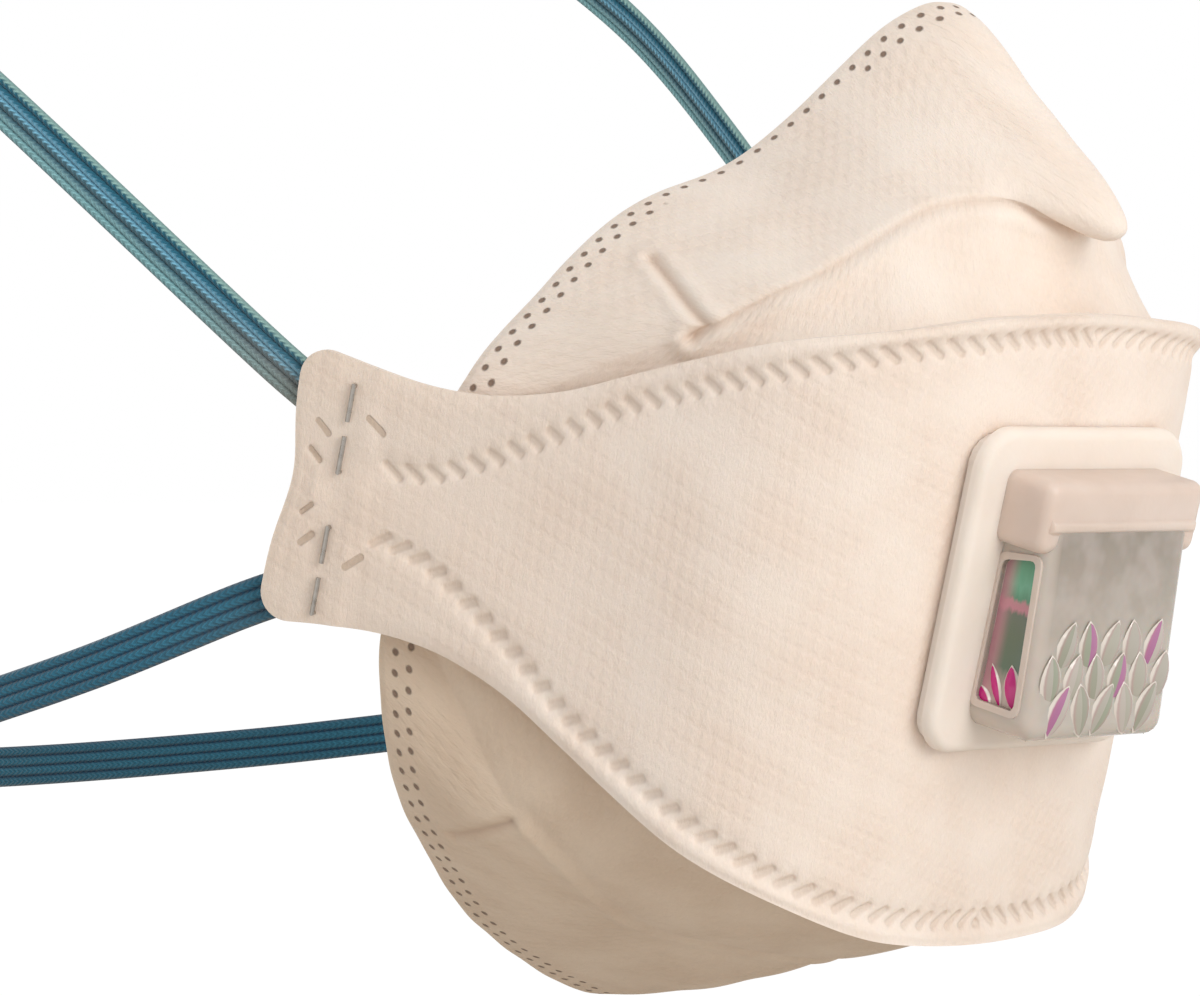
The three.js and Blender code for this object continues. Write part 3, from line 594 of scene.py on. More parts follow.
def throughPoints(points, t):
    # a centripetal Catmull-Rom curve, read at t from 0 to 1
    last = len(points) - 1
    place = min(max(t, 0), 1) * last
    i = min(int(place), last - 1)
    weight = place - i
    p1, p2 = points[i], points[i + 1]
    p0 = points[i - 1] if i > 0 else 2 * points[0] - points[1]
    p3 = points[i + 2] if i + 2 <= last else 2 * points[last] - points[last - 1]
    d0, d1, d2 = (max(np.linalg.norm(b - a), 1e-8) ** 0.5 for a, b in ((p0, p1), (p1, p2), (p2, p3)))
    if d1 < 1e-4:
        d1 = 1.0
    d0 = d1 if d0 < 1e-4 else d0
    d2 = d1 if d2 < 1e-4 else d2
    t1 = ((p1 - p0) / d0 - (p2 - p0) / (d0 + d1) + (p2 - p1) / d1) * d1
    t2 = ((p2 - p1) / d1 - (p3 - p1) / (d1 + d2) + (p3 - p2) / d2) * d1
    c2 = -3 * p1 + 3 * p2 - 2 * t1 - t2
    c3 = 2 * p1 - 2 * p2 + t1 + t2
    return p1 + t1 * weight + c2 * weight ** 2 + c3 * weight ** 3


def strapSection(ribs):
    # half a turn of ribs on each face, round at both sides
    half, thick = band["width"] / 2, band["thick"] / 2
    places = np.linspace(-1, 1, ribs * band["ribRows"] + 1)
    rib = np.abs(np.cos(places * math.pi * ribs / 2 + (math.pi / 2 if ribs % 2 == 0 else 0)))
    height = thick - band["groove"] * (1 - rib ** band["ribShape"])
    height = height * np.sqrt(np.clip(1 - np.abs(places) ** band["sideRound"], band["sideLeast"], 1))
    across = places * half
    top = np.stack([across, height], -1)
    bottom = np.stack([across[::-1], -height[::-1]], -1)
    return np.concatenate([top, bottom])


def makeStrap(strap):
    right, rightFace = strapStations(strap, -1)
    left, leftFace = strapStations(strap, 1)
    points = [np.array(p, float) for p in right + left[::-1][1:]]
    faces = [np.array(p, float) for p in rightFace + leftFace[::-1][1:]]
    samples = np.linspace(0, 1, band["samples"])
    dense = np.array([throughPoints(points, t) for t in samples])
    run = np.concatenate([[0], np.cumsum(np.linalg.norm(np.diff(dense, axis=0), axis=1))])
    count = int(run[-1] / band["step"])
    lengths = np.linspace(0, run[-1], count + 1)
    ts = np.interp(lengths, run, samples)
    centreLine = np.array([throughPoints(points, t) for t in ts])
    facing = np.array([throughPoints(faces, t) for t in ts])
    tangent = np.gradient(centreLine, axis=0)
    tangent /= np.linalg.norm(tangent, axis=1, keepdims=True)
    facing -= tangent * np.sum(facing * tangent, 1, keepdims=True)
    facing /= np.linalg.norm(facing, axis=1, keepdims=True)
    across = np.cross(tangent, facing)
    section = strapSection(strap["ribs"])
    n = len(section)
    rings = centreLine[:, None] + across[:, None] * section[None, :, :1]
    rings = rings + facing[:, None] * section[None, :, 1:]
    points = rings.reshape(-1, 3) * 0.001
    fromTab = np.minimum(lengths, run[-1] - lengths)
    places = np.broadcast_arrays(lengths[:, None], section[None, :, 0], fromTab[:, None])
    place = np.stack(places, -1).reshape(-1, 3)
    index = np.arange(len(points)).reshape(-1, n)
    a, b = index[:-1], index[1:]
    quads = np.stack([a, np.roll(a, -1, 1), np.roll(b, -1, 1), b], -1).reshape(-1, 4)
    faces = quads.tolist() + [index[0][::-1].tolist(), index[-1].tolist()]
    mesh = bpy.data.meshes.new(strap["name"])
    mesh.from_pydata(points.tolist(), [], faces)
    layer = mesh.attributes.new("bandPlace", "FLOAT_VECTOR", "POINT")
    layer.data.foreach_set("vector", place.astype(np.float32).ravel())
    piece = bpy.data.objects.new(strap["name"], mesh)
    bpy.context.scene.collection.objects.link(piece)
    model = bmesh.new()
    model.from_mesh(mesh)
    bmesh.ops.recalc_face_normals(model, faces=model.faces)
    model.to_mesh(mesh)
    model.free()
    smooth(piece, 60)
    print(strap["name"], "made,", round(float(run[-1])), "mm long")
    return piece


upperStrapPiece = makeStrap(upperStrap)
lowerStrapPiece = makeStrap(lowerStrap)

# valve, upright in the mask's own frame until it is leaned at the end

maskToPart = Matrix.Rotation(lean, 4, "X") @ Matrix.Translation((0, -stapleBack * 0.001, 0))

hood = {
    "half": 13.4, "bottom": -10.4, "top": 16.0, "back": -2.1, "deep": -11.6, "shallow": -9.3,
    "wall": 0.9, "cornerRound": 1.9, "lowerRound": 2.4,
    "windowLow": -7.1, "windowHigh": 9.9, "windowBack": -2.75, "windowFront": -8.7, "rim": 0.8,
    "windowRise": 1.0, "windowDraw": 1.1, "windowRound": 0.8,
    "rimBack": 1.0, "rimOut": 0.28,    # the rims' slice, from inside the wall to just past it
}
block = {"half": 15.2, "bottom": 11.9, "top": 20.6, "back": -2.1, "front": -9.2, "round": 1.5,
         "notchHalf": 11.7, "notchTop": 14.2, "notchRound": 0.9, "beadBottom": 14.6, "beadTop": 16.1,
         "beadOut": 0.4, "beadIn": 0.3, "edge": 0.22, "coreFront": -7.6, "side": 1.2, "lid": 1.6}
leaf = {"half": 1.95, "tall": 3.5, "bulge": 0.42, "pitch": 4.3, "sink": 0.05, "counterLean": -0.7,
        # the outermost leaves follow the hood's rounded corner
        "cornerTurn": 40, "cornerBack": 0.35, "cornerIn": 0.75,
        "toneStart": 0.08, "toneStep": 0.377, "toneSplit": 0.13, "petalBulge": 0.45, "petalIn": 0.8}
# the film behind each window: its faces' places inside the hood's side and its reach past the opening
film = {"inner": 1.15, "outer": 0.85, "beside": 0.5, "below": 0.6, "above": 1.4, "unevenness": 0.12}
planeGap = 0.1     # places closer than this lie in one plane, in millimetres
through = 20       # cutters reach this far from the middle
# rows of pressed leaves on the hood's front: height of the middle, first place, count, sideways lean
leafRows = table(("up", "first", "count", "lean"), (0.9, -8.4, 5, 14), (-3.0, -10.6, 6, -11),
                 (-6.5, -8.4, 5, 22))
# the petals low in each side window: place, half width, half height and lean
petalRows = table(("back", "up", "half", "tall", "lean"), (-7.1, -4.6, 1.25, 2.7, -14),
                  (-3.4, -6.7, 0.9, 1.7, -42), (-4.8, -5.0, 0.7, 2.7, -26))
flange = {"half": 19.9, "bottom": -14.1, "top": 25.3, "front": -2.3, "back": -0.45, "corner": 5.2,
          "edge": 1.3, "openHalf": 12.3, "openBottom": -9.2, "openTop": 16.5}


def addBox(name, low, high):
    bpy.ops.object.select_all(action="DESELECT")
    low, high = Vector(low) * 0.001, Vector(high) * 0.001
    bpy.ops.mesh.primitive_cube_add(size=1, location=(low + high) / 2)
    piece = bpy.context.object
    piece.name = name
    piece.scale = high - low
    bpy.ops.object.transform_apply(location=True, rotation=False, scale=True)
    return piece


def pick(piece, kind, wanted):
    # edit mode with only the wanted vertices, edges or faces selected; sizes given in millimetres
    bpy.context.view_layer.objects.active = piece
    bpy.ops.object.mode_set(mode="EDIT")
    bpy.ops.mesh.select_mode(type=kind)
    bpy.ops.mesh.select_all(action="DESELECT")
    model = bmesh.from_edit_mesh(piece.data)
    for part in {"VERT": model.verts, "EDGE": model.edges, "FACE": model.faces}[kind]:
        corners = [part] if kind == "VERT" else part.verts
        places = [corner.co * 1000 for corner in corners]
        if wanted(places):
            part.select_set(True)
    bmesh.update_edit_mesh(piece.data)


def leaveEdit():
    bpy.ops.object.mode_set(mode="OBJECT")
    bpy.ops.object.select_all(action="DESELECT")


def bevelEdges(piece, width, segments, wanted):
    pick(piece, "EDGE", wanted)
    bpy.ops.mesh.bevel(offset=width * 0.001, segments=segments, affect="EDGES")


def applyModifier(piece, kind, **settings):
    modifier = piece.modifiers.new(kind.title(), kind)
    for name, value in settings.items():
        setattr(modifier, name, value)
    bpy.context.view_layer.objects.active = piece
    bpy.ops.object.modifier_apply(modifier=modifier.name)


def cutAway(piece, cutter):
    applyModifier(piece, "BOOLEAN", operation="DIFFERENCE", object=cutter, solver="EXACT")


def discard(piece):
    bpy.data.objects.remove(piece, do_unlink=True)


def makeHood(size):
    piece = addBox("valveHood", (-size["half"], size["deep"], size["bottom"]),
                   (size["half"], size["back"], size["top"]))
    pick(piece, "VERT", lambda p: p[0].y < size["deep"] + planeGap and p[0].z > size["top"] - planeGap)
    bpy.ops.transform.translate(value=(0, (size["shallow"] - size["deep"]) * 0.001, 0))
    bevelEdges(piece, size["cornerRound"], 6, lambda p: abs(p[0].x - p[1].x) < planeGap
               and all(q.y < size["shallow"] + planeGap for q in p))
    bevelEdges(piece, size["lowerRound"], 5, lambda p: all(q.z < size["bottom"] + planeGap for q in p)
               and not all(q.y > size["back"] - planeGap for q in p))
    pick(piece, "FACE", lambda p: all(q.y > size["back"] - planeGap for q in p))
    bpy.ops.mesh.delete(type="FACE")
    leaveEdit()
    applyModifier(piece, "SOLIDIFY", thickness=size["wall"] * 0.001, offset=-1.0)
    return piece


def makeWindow(size, grow):
    # a slanted opening through both side walls, as a cutter
    piece = addBox("windowCutter", (-through, size["windowFront"] - grow, size["windowLow"] - grow),
                   (through, size["windowBack"] + grow, size["windowHigh"] + grow))
    pick(piece, "VERT", lambda p: p[0].z > 0 and p[0].y < -5)
    bpy.ops.transform.translate(value=(0, size["windowDraw"] * 0.001, size["windowRise"] * 0.001))
    bevelEdges(piece, size["windowRound"] + grow / 2, 3, lambda p: abs(p[0].x - p[1].x) > 1)
    leaveEdit()
    return piece


def makeBlock(size):
    piece = addBox("valveBlock", (-size["half"], size["front"], size["bottom"]),
                   (size["half"], size["back"], size["top"]))
    bevelEdges(piece, size["round"], 5, lambda p: not all(q.y > size["back"] - planeGap for q in p))
    for height in (size["beadBottom"], size["beadTop"]):
        bpy.ops.mesh.select_all(action="SELECT")
        bpy.ops.mesh.bisect(plane_co=(0, 0, height * 0.001), plane_no=(0, 0, 1))
    pick(piece, "FACE", lambda p: all(q.y < size["front"] + planeGap and size["beadBottom"] - planeGap < q.z
                                      < size["beadTop"] + planeGap for q in p))
    bpy.ops.mesh.inset(thickness=size["beadIn"] * 0.001, depth=size["beadOut"] * 0.001)
    leaveEdit()
    notch = addBox("notch", (-size["notchHalf"], -through, size["bottom"] - 3),
                   (size["notchHalf"], 1, size["notchTop"]))
    bevelEdges(notch, size["notchRound"], 3, lambda p: abs(p[0].y - p[1].y) > 1 and p[0].z > size["bottom"])
    leaveEdit()
    cutAway(piece, notch)
    discard(notch)
    applyModifier(piece, "BEVEL", width=size["edge"] * 0.001, segments=2, limit_method="ANGLE",
                  angle_limit=math.radians(40))
    return piece


def makeFlange(size):
    # the welded rim round the valve, soft where the cloth wraps it
    piece = addBox("valveFlange", (-size["half"], size["front"], size["bottom"]),
                   (size["half"], size["back"], size["top"]))
    bevelEdges(piece, size["corner"], 8, lambda p: abs(p[0].y - p[1].y) > 1)
    bevelEdges(piece, size["edge"], 5, lambda p: all(q.y < size["front"] + planeGap for q in p))
    leaveEdit()
    opened = addBox("opened", (-size["openHalf"], -through, size["openBottom"]),
                    (size["openHalf"], 1, size["openTop"]))
    cutAway(piece, opened)
    discard(opened)
    return piece


def keepPlace(piece):
    # each place as it was before the valve is leaned, in millimetres, for the materials
    places = piece.data.attributes.new("valvePlace", "FLOAT_VECTOR", "POINT")
    for vertex, item in zip(piece.data.vertices, places.data):
        item.vector = vertex.co * 1000


def makeLeaf(half, tall, bulge):
    bpy.ops.mesh.primitive_uv_sphere_add(segments=8, ring_count=10, radius=0.001)
    piece = bpy.context.object
    heights = sorted({round(v.co.z * 1000, 4) for v in piece.data.vertices})
    for height in heights[1:-1]:
        # drawn in ring by ring, so that both ends come to a point
        pick(piece, "VERT", lambda p: abs(p[0].z - height) < 0.001)
        factor = math.sqrt(1 - height ** 2)
        bpy.ops.transform.resize(value=(factor, factor, 1), center_override=(0, 0, height * 0.001))
    leaveEdit()
    # 0 along the raised middle and 1 at the outline, for the pale edge, which on the hood's leaves is a
    # painted highlight
    edges = piece.data.attributes.new("leafEdge", "FLOAT", "POINT")
    for vertex, item in zip(piece.data.vertices, edges.data):
        reach = max(1 - (vertex.co.z * 1000) ** 2, 1e-4)
        item.value = min(abs(vertex.co.x * 1000) / reach, 1.0) if reach > 0.1 else 1.0
    piece.scale = (half, bulge, tall)
    piece.select_set(True)
    bpy.ops.object.transform_apply(location=False, rotation=False, scale=True)
    return piece


def copyAt(piece, name, move, turn=0.0, leaned=0.0):
    copied = piece.copy()
    copied.data = piece.data.copy()
    copied.name = name
    copied.data.transform(Matrix.Translation(Vector(move) * 0.001) @ Matrix.Rotation(turn, 4, "Z")
                          @ Matrix.Rotation(leaned, 4, "Y"))
    bpy.context.scene.collection.objects.link(copied)
    return copied


def setTone(piece, tone):
    # the two halves of a leaf catch the light differently, so each half keeps a tone of its own
    tones = piece.data.attributes.new("leafTone", "FLOAT", "FACE")
    for face in piece.data.polygons:
        tones.data[face.index].value = (tone + leaf["toneSplit"] * (face.center.x > 0)) % 1.0


def joinAll(pieces, name):
    bpy.ops.object.select_all(action="DESELECT")
    for piece in pieces:
        piece.select_set(True)
    bpy.context.view_layer.objects.active = pieces[0]
    bpy.ops.object.join()
    pieces[0].name = name
    return pieces[0]


def frontAt(up):
    share = (up - hood["bottom"]) / (hood["top"] - hood["bottom"])
    return hood["deep"] + (hood["shallow"] - hood["deep"]) * share


valveHood = makeHood(hood)
opening = makeWindow(hood, 0.0)
outline = makeWindow(hood, hood["rim"])
cutAway(valveHood, opening)
# raised rims round the two windows: slices of the wider outline, with the opening cut out
rims = []
for side in (-1, 1):
    low, high = sorted((side * (hood["half"] - hood["rimBack"]), side * (hood["half"] + hood["rimOut"])))
    rim = addBox("windowRim", (low, -14, -12), (high, 0, 14))
    applyModifier(rim, "BOOLEAN", operation="INTERSECT", object=outline, solver="EXACT")
    cutAway(rim, opening)
    rims.append(rim)
windowRims = joinAll(rims, "windowRims")
discard(outline)
valveBlock = makeBlock(block)
coreHalf = hood["half"] - block["side"]
core = addBox("blockCore", (-coreHalf, block["coreFront"], 0), (coreHalf, 0, block["top"] - block["lid"]))
valveFlange = makeFlange(flange)
cutAway(valveBlock, core)
discard(core)
discard(opening)

oneLeaf = makeLeaf(leaf["half"], leaf["tall"], leaf["bulge"])
leaves = []
for k, row in enumerate(eachRow(leafRows)):
    for n in range(int(row["count"])):
        up = row["up"]
        out = row["first"] + leaf["pitch"] * n
        leaned = math.radians(row["lean"] * (1 if n % 2 == 0 else leaf["counterLean"]))
        turn = 0.0
        back = frontAt(up) + leaf["sink"]
        if abs(out) > hood["half"] - hood["cornerRound"]:
            turn = math.radians(math.copysign(leaf["cornerTurn"], out))
            back += leaf["cornerBack"]
            out = math.copysign(hood["half"] - leaf["cornerIn"], out)
        # the tones are set on an upright copy, where the leaf's two halves are plain to tell apart
        pressed = copyAt(oneLeaf, "leaf", (0, 0, 0))
        setTone(pressed, (k * 6 + n) * leaf["toneStep"] + leaf["toneStart"])
        leaves.append(copyAt(pressed, "leaf", (out, back, up), turn, leaned))
        discard(pressed)
leafFacets = joinAll(leaves, "leafFacets")
discard(oneLeaf)
# a coloured film behind each side window, with three raised petals low down on it
films, petals = [], []
for side in (-1, 1):
    low, high = sorted((side * (hood["half"] - film["inner"]), side * (hood["half"] - film["outer"])))
    front, back = hood["windowFront"] - film["beside"], hood["windowBack"] + film["beside"]
    pane = addBox("windowFilm", (low, front, hood["windowLow"] - film["below"]),
                  (high, back, hood["windowHigh"] + film["above"]))
    pick(pane, "FACE", lambda p: abs(p[0].x - p[2].x) < planeGap and abs(p[0].y - p[2].y) > 1)
    bpy.ops.mesh.subdivide(number_cuts=6)
    leaveEdit()
    for vertex in pane.data.vertices:
        # slightly uneven, as a film is when it is only held at its rim
        wave = math.sin(vertex.co.z * 1100) * math.cos(vertex.co.y * 1500)
        vertex.co.x += film["unevenness"] * 0.001 * wave
    films.append(pane)
    for row in eachRow(petalRows):
        petal = makeLeaf(row["half"], row["tall"], leaf["petalBulge"])
        place = (side * (hood["half"] - leaf["petalIn"]), row["back"], row["up"])
        # an upright leaf faces the front: a quarter turn sets it on the side
        leaned = math.radians(row["lean"]) * -side
        petals.append(copyAt(petal, "petal", place, math.radians(90 * side), leaned))
        discard(petal)
windowFilm = joinAll(films, "windowFilm")
windowPetals = joinAll(petals, "windowPetals")
# each piece, the node it stands for, its colour slot and the angle up to which it is shaded smooth
valvePieces = (
    (valveHood, "valve_cover", "valve_clear", 35), (windowRims, "valve_cover", "valve_white", 35),
    (valveBlock, "valve_cover", "valve_white", 40), (valveFlange, None, "valve_white", 50),
    (leafFacets, "valve_cover", "valve_clear", 12), (windowPetals, "valve_cover", "valve_film", 30),
    (windowFilm, "valve_cover", "valve_film", 30),
)
for piece, node, slotName, degrees in valvePieces:
    keepPlace(piece)
    piece.data.transform(maskToPart)
    smooth(piece, degrees)
print("valve made")

# materials

def linear(code):
    parts = [int(code[k:k + 2], 16) / 255 for k in (1, 3, 5)]
    return tuple(c / 12.92 if c <= 0.04045 else ((c + 0.055) / 1.055) ** 2.4 for c in parts) + (1.0,)


def setInputs(node, inputs):
    # an input gets a value, or a link where it is given another node's output
    for name, value in inputs.items():
        if isinstance(value, bpy.types.NodeSocket):
            node.id_data.links.new(value, node.inputs[name])
        else:
            node.inputs[name].default_value = value


def addNode(tree, kind, inputs=None, output=0, **settings):
    node = tree.nodes.new("ShaderNode" + kind)
    for name, value in settings.items():
        setattr(node, name, value)
    setInputs(node, inputs or {})
    return node.outputs[output]


def newMaterial(name, **sockets):
    # the material, the function that adds a node to it, and its main shader
    material = bpy.data.materials.new(name)
    material.use_nodes = True
    shader = material.node_tree.nodes["Principled BSDF"]
    setInputs(shader, {key.replace("_", " "): value for key, value in sockets.items()})
    return material, partial(addNode, material.node_tree), shader


def rampOver(add, value, low, high, stops):
    # colours at places from low to high; the first two stops are the ends of the ramp
    share = add("MapRange", {"Value": value, "From Min": low, "From Max": high})
    colours = add("ValToRGB", {"Fac": share})
    elements = colours.node.color_ramp.elements
    for k, (stop, code) in enumerate(stops):
        position = (stop - low) / (high - low)
        element = elements[k] if k < 2 else elements.new(position)
        element.position = position
        element.color = linear(code)
    return colours


def dress(piece, material):
    piece.data.materials.clear()
    piece.data.materials.append(material)


colourMix = {"output": 2, "data_type": "RGBA"}
smoothly = {"interpolation_type": "SMOOTHSTEP"}
falling = {"To Min": 1.0, "To Max": 0.0}

cloth = {
    # raised points of the emboss, 0.35 by 0.9 mm, set in staggered rows and slanted
    "embossWide": 1.8, "embossHigh": 2.35, "embossGap": 0.72, "embossTurn": 0.3, "emboss": 0.07,
    "fibre": 0.05, "fibreScale": (3.4, 1.4, 1.0), "fibreTurn": 0.5, "patchScale": 0.09,
    "roughness": 0.93, "dashTint": 0.26, "markTint": 0.75, "creaseShade": 0.6, "markDepth": 0.15,
    "dotDepth": 0.3, "dotInner": 0.24, "dotOuter": 0.54,
    # along the nose, the second row of dots is only this near the top and this far down the slopes
    "secondNear": (16.0, 17.0), "secondFar": (43.0, 44.0),
    "tabShade": (55.0, 100.0),
}


def capsule(add, arc, across, look):
    # 1 inside the weld's slanted dashes, which repeat along the weld
    turn = math.radians(look["dashTurn"])
    s = add("Math", {0: across, 1: -1 / math.tan(turn), 2: arc}, operation="MULTIPLY_ADD")
    wrapped = add("Math", {0: s, 1: -look["dashPitch"] / 2, 2: look["dashPitch"] / 2}, operation="WRAP")
    beside = add("Math", {0: wrapped, 1: math.sin(turn)}, operation="MULTIPLY")
    shifted = add("Math", {0: wrapped, 1: math.cos(turn)}, operation="MULTIPLY")
    length = add("Math", {0: across, 1: 1 / math.sin(turn), 2: shifted}, operation="MULTIPLY_ADD")
    length = add("Math", {0: length}, operation="ABSOLUTE")
    radius = look["dashWidth"] / 2
    past = add("Math", {0: length, 1: look["dashLength"] / 2 - radius}, operation="SUBTRACT")
    past = add("Math", {0: past, 1: 0.0}, operation="MAXIMUM")
    both = add("CombineXYZ", {0: past, 1: beside})
    distance = add("VectorMath", {0: both}, output="Value", operation="LENGTH")
    inside = add("MapRange", {"Value": distance, "From Min": radius * 0.35, "From Max": radius * 1.5,
                              **falling}, **smoothly)
    # the weld stops after a whole dash
    begun = add("Math", {0: s, 1: look["dashPitch"] / 2}, operation="LESS_THAN")
    return add("Math", {0: inside, 1: begun}, operation="MULTIPLY")


def pressedMarks(add, along, up):
    # the few single marks on each tab
    mirrored = add("Math", {0: along}, operation="ABSOLUTE")
    place = add("CombineXYZ", {0: mirrored, 1: up})
    total = 0.0
    for mark in eachRow(tabMarks):
        local = add("Mapping", {"Vector": place, "Location": (mark["along"], mark["up"], 0),
                                "Rotation": (0, 0, math.radians(mark["degrees"]))}, vector_type="TEXTURE")
        local = add("VectorMath", {0: local}, operation="ABSOLUTE")
        radius = mark["width"] / 2
        straight = (mark["length"] / 2 - radius, 0, 0)
        past = add("VectorMath", {0: local, 1: straight}, operation="SUBTRACT")
        past = add("VectorMath", {0: past, 1: (0, 0, 0)}, operation="MAXIMUM")
        distance = add("VectorMath", {0: past}, output="Value", operation="LENGTH")
        inside = add("MapRange", {"Value": distance, "From Min": radius * 0.6, "From Max": radius * 1.1,
                                  **falling}, **smoothly)
        total = add("Math", {0: inside, 1: total}, operation="MAXIMUM")
    return total


def pinPoints(add, arc, across, reach, look):
    # two staggered rows of pin-point welds along the free edge
    half = look["dotPitch"] / 2
    marks = []
    for inward, phase in ((look["dotIn"], 0.0), (look["secondIn"], half)):
        moved = add("Math", {0: arc, 1: phase}, operation="ADD")
        wrapped = add("Math", {0: moved, 1: -half, 2: half}, operation="WRAP")
        down = add("Math", {0: across, 1: inward}, operation="SUBTRACT")
        both = add("CombineXYZ", {0: wrapped, 1: down})
        distance = add("VectorMath", {0: both}, output="Value", operation="LENGTH")
        marks.append(add("MapRange", {"Value": distance, "From Min": cloth["dotInner"],
                                      "From Max": cloth["dotOuter"], **falling}, **smoothly))
    if look is nose:
        # the second row is only near the top and on the lower slopes
        start, end = cloth["secondNear"]
        near = add("MapRange", {"Value": reach, "From Min": start, "From Max": end, **falling})
        start, end = cloth["secondFar"]
        far = add("MapRange", {"Value": reach, "From Min": start, "From Max": end})
        gate = add("Math", {0: near, 1: far}, operation="MAXIMUM")
        marks[1] = add("Math", {0: marks[1], 1: gate}, operation="MULTIPLY")
    return add("Math", {0: marks[0], 1: marks[1]}, operation="MAXIMUM")


def nonwovenCloth(name, pale, warm, seamKind, look):
    # thermally bonded polypropylene nonwoven: matt and fibrous, with small raised points from the emboss
    material, add, shader = newMaterial(name, Roughness=cloth["roughness"], IOR=1.49,
                                        Subsurface_Weight=0.1, Subsurface_Scale=0.002,
                                        Subsurface_Radius=(1.0, 0.7, 0.45), Sheen_Weight=0.08,
                                        Sheen_Roughness=0.6, Specular_IOR_Level=0.2)
    place = add("Attribute", output="Vector", attribute_name="clothPlace")
    seam = add("Attribute", output="Vector", attribute_name="seamPlace")
    arc, across, third = add("SeparateXYZ", {0: seam}).node.outputs
    along, up, crease = add("SeparateXYZ", {0: place}).node.outputs
    flat = add("CombineXYZ", {0: along, 1: up})
    stretched = add("Mapping", {"Vector": flat, "Scale": cloth["fibreScale"],
                                "Rotation": (0, 0, cloth["fibreTurn"])})
    fibres = add("TexNoise", {"Vector": stretched, "Scale": 1.0, "Detail": 5.0, "Roughness": 0.65},
                 noise_dimensions="2D")
    patches = add("TexNoise", {"Vector": flat, "Scale": cloth["patchScale"], "Detail": 2.0},
                  noise_dimensions="2D")
    slanted = add("Mapping", {"Vector": flat, "Rotation": (0, 0, cloth["embossTurn"])})
    gaps = add("TexBrick", {"Vector": slanted, "Scale": 1.0, "Mortar Size": cloth["embossGap"],
                            "Mortar Smooth": 0.9, "Bias": 0.0, "Brick Width": cloth["embossWide"],
                            "Row Height": cloth["embossHigh"]}, output="Fac", offset=0.5)
    points = add("Math", {0: 1.0, 1: gaps}, operation="SUBTRACT")
    shown = add("MapRange", {"Value": patches, "From Min": 0.35, "From Max": 0.62, "To Min": 0.35})
    emboss = add("Math", {0: points, 1: shown}, operation="MULTIPLY")
    height = add("Math", {0: emboss, 1: cloth["emboss"]}, operation="MULTIPLY")
    height = add("Math", {0: fibres, 1: cloth["fibre"] * 2, 2: height}, operation="MULTIPLY_ADD")
    shadeFade = 0.0
    if seamKind == "dashes":
        # painted shade greys the cloth towards the tabs, where the layers are also pressed thin, which dulls
        # them a little
        outward = add("Math", {0: along}, operation="ABSOLUTE")
        start, end = cloth["tabShade"]
        shadeFade = add("MapRange", {"Value": outward, "From Min": start, "From Max": end, "To Max": 0.5})
        dashes = capsule(add, arc, across, look)
        dashes = add("Math", {0: dashes, 1: third}, operation="MULTIPLY")
        mark = pressedMarks(add, along, up)
        tinted = add("Math", {0: dashes, 1: cloth["dashTint"]}, operation="MULTIPLY")
        tinted = add("Math", {0: mark, 1: cloth["markTint"], 2: tinted}, operation="MULTIPLY_ADD")
        mark = add("Math", {0: dashes, 1: mark}, operation="MAXIMUM")
        markDepth, markColour = cloth["markDepth"], "#c3ad98"
    else:
        tinted = mark = pinPoints(add, arc, across, third, look)
        markDepth, markColour = cloth["dotDepth"], "#8d7767"
    height = add("Math", {0: mark, 1: -markDepth, 2: height}, operation="MULTIPLY_ADD")
    bump = add("Bump", {"Height": height, "Distance": 0.001, "Strength": 1.0})
    tint = add("MapRange", {"Value": patches, "From Min": 0.3, "From Max": 0.7})
    base = add("Mix", {0: tint, 6: linear(pale), 7: linear(warm)}, **colourMix)
    fleck = add("MapRange", {"Value": fibres, "From Min": 0.3, "From Max": 0.7, "To Min": 0.975,
                             "To Max": 1.015})
    base = add("VectorMath", {0: base, 1: fleck}, operation="MULTIPLY")
    # painted shade: the cloth turns greyer towards each tab
    base = add("Mix", {0: shadeFade, 6: base, 7: linear("#ddcab8")}, **colourMix)
    # painted shade along the creases of the folded panels
    shade = add("Math", {0: crease, 1: cloth["creaseShade"]}, operation="MULTIPLY")
    base = add("Mix", {0: shade, 6: base, 7: linear("#cdb39d")}, **colourMix)
    base = add("Mix", {0: tinted, 6: base, 7: linear(markColour)}, **colourMix)
    setInputs(shader, {"Base Color": base, "Normal": bump})
    return material


dress(centrePanel, nonwovenCloth("nonwovenFront", "#f6e7da", "#f1dfd0", "dashes", centre))
dress(nosePanel, nonwovenCloth("nonwovenNose", "#f4e6d9", "#f0dfd0", "dots", nose))
# the chin panel gets darker, browner colours than the other panels: painted shade for its downward face
dress(chinPanel, nonwovenCloth("nonwovenChinShaded", "#e0ccb6", "#d8c2ab", "dots", chin))

# colours across each strap from its lower to its upper edge, as shares of the width
upperBands = (
    (0.0, "#50757d"), (1.0, "#8fb0a8"), (0.05, "#6f9ba0"), (0.17, "#86b4b8"), (0.3, "#7ba6ad"),
    (0.36, "#456874"), (0.5, "#4a6f7c"), (0.56, "#7ab4cc"), (0.67, "#6faac4"), (0.73, "#22637a"),
    (0.88, "#246479"), (0.94, "#84a9a4"),
)
lowerBands = ((0.0, "#6c706a"), (1.0, "#6a7876"), (0.03, "#2c6076"), (0.5, "#2d6b83"), (0.97, "#2c6076"))
braid = {
    "chevronSlope": 1.3, "stitchPitch": 0.9,
    "tooth": 0.09, "colourTooth": 0.14,      # how far the stitches step the grooves and the colours
    "grooveFrom": 0.27, "grooveTo": 0.48,    # shares of a rib's width from its middle
    "stitch": 0.07, "fuzz": 0.08, "groove": 0.16, "fuzzScale": 2.6,
    "greyFrom": 10.0, "greyTo": 32.0,
}


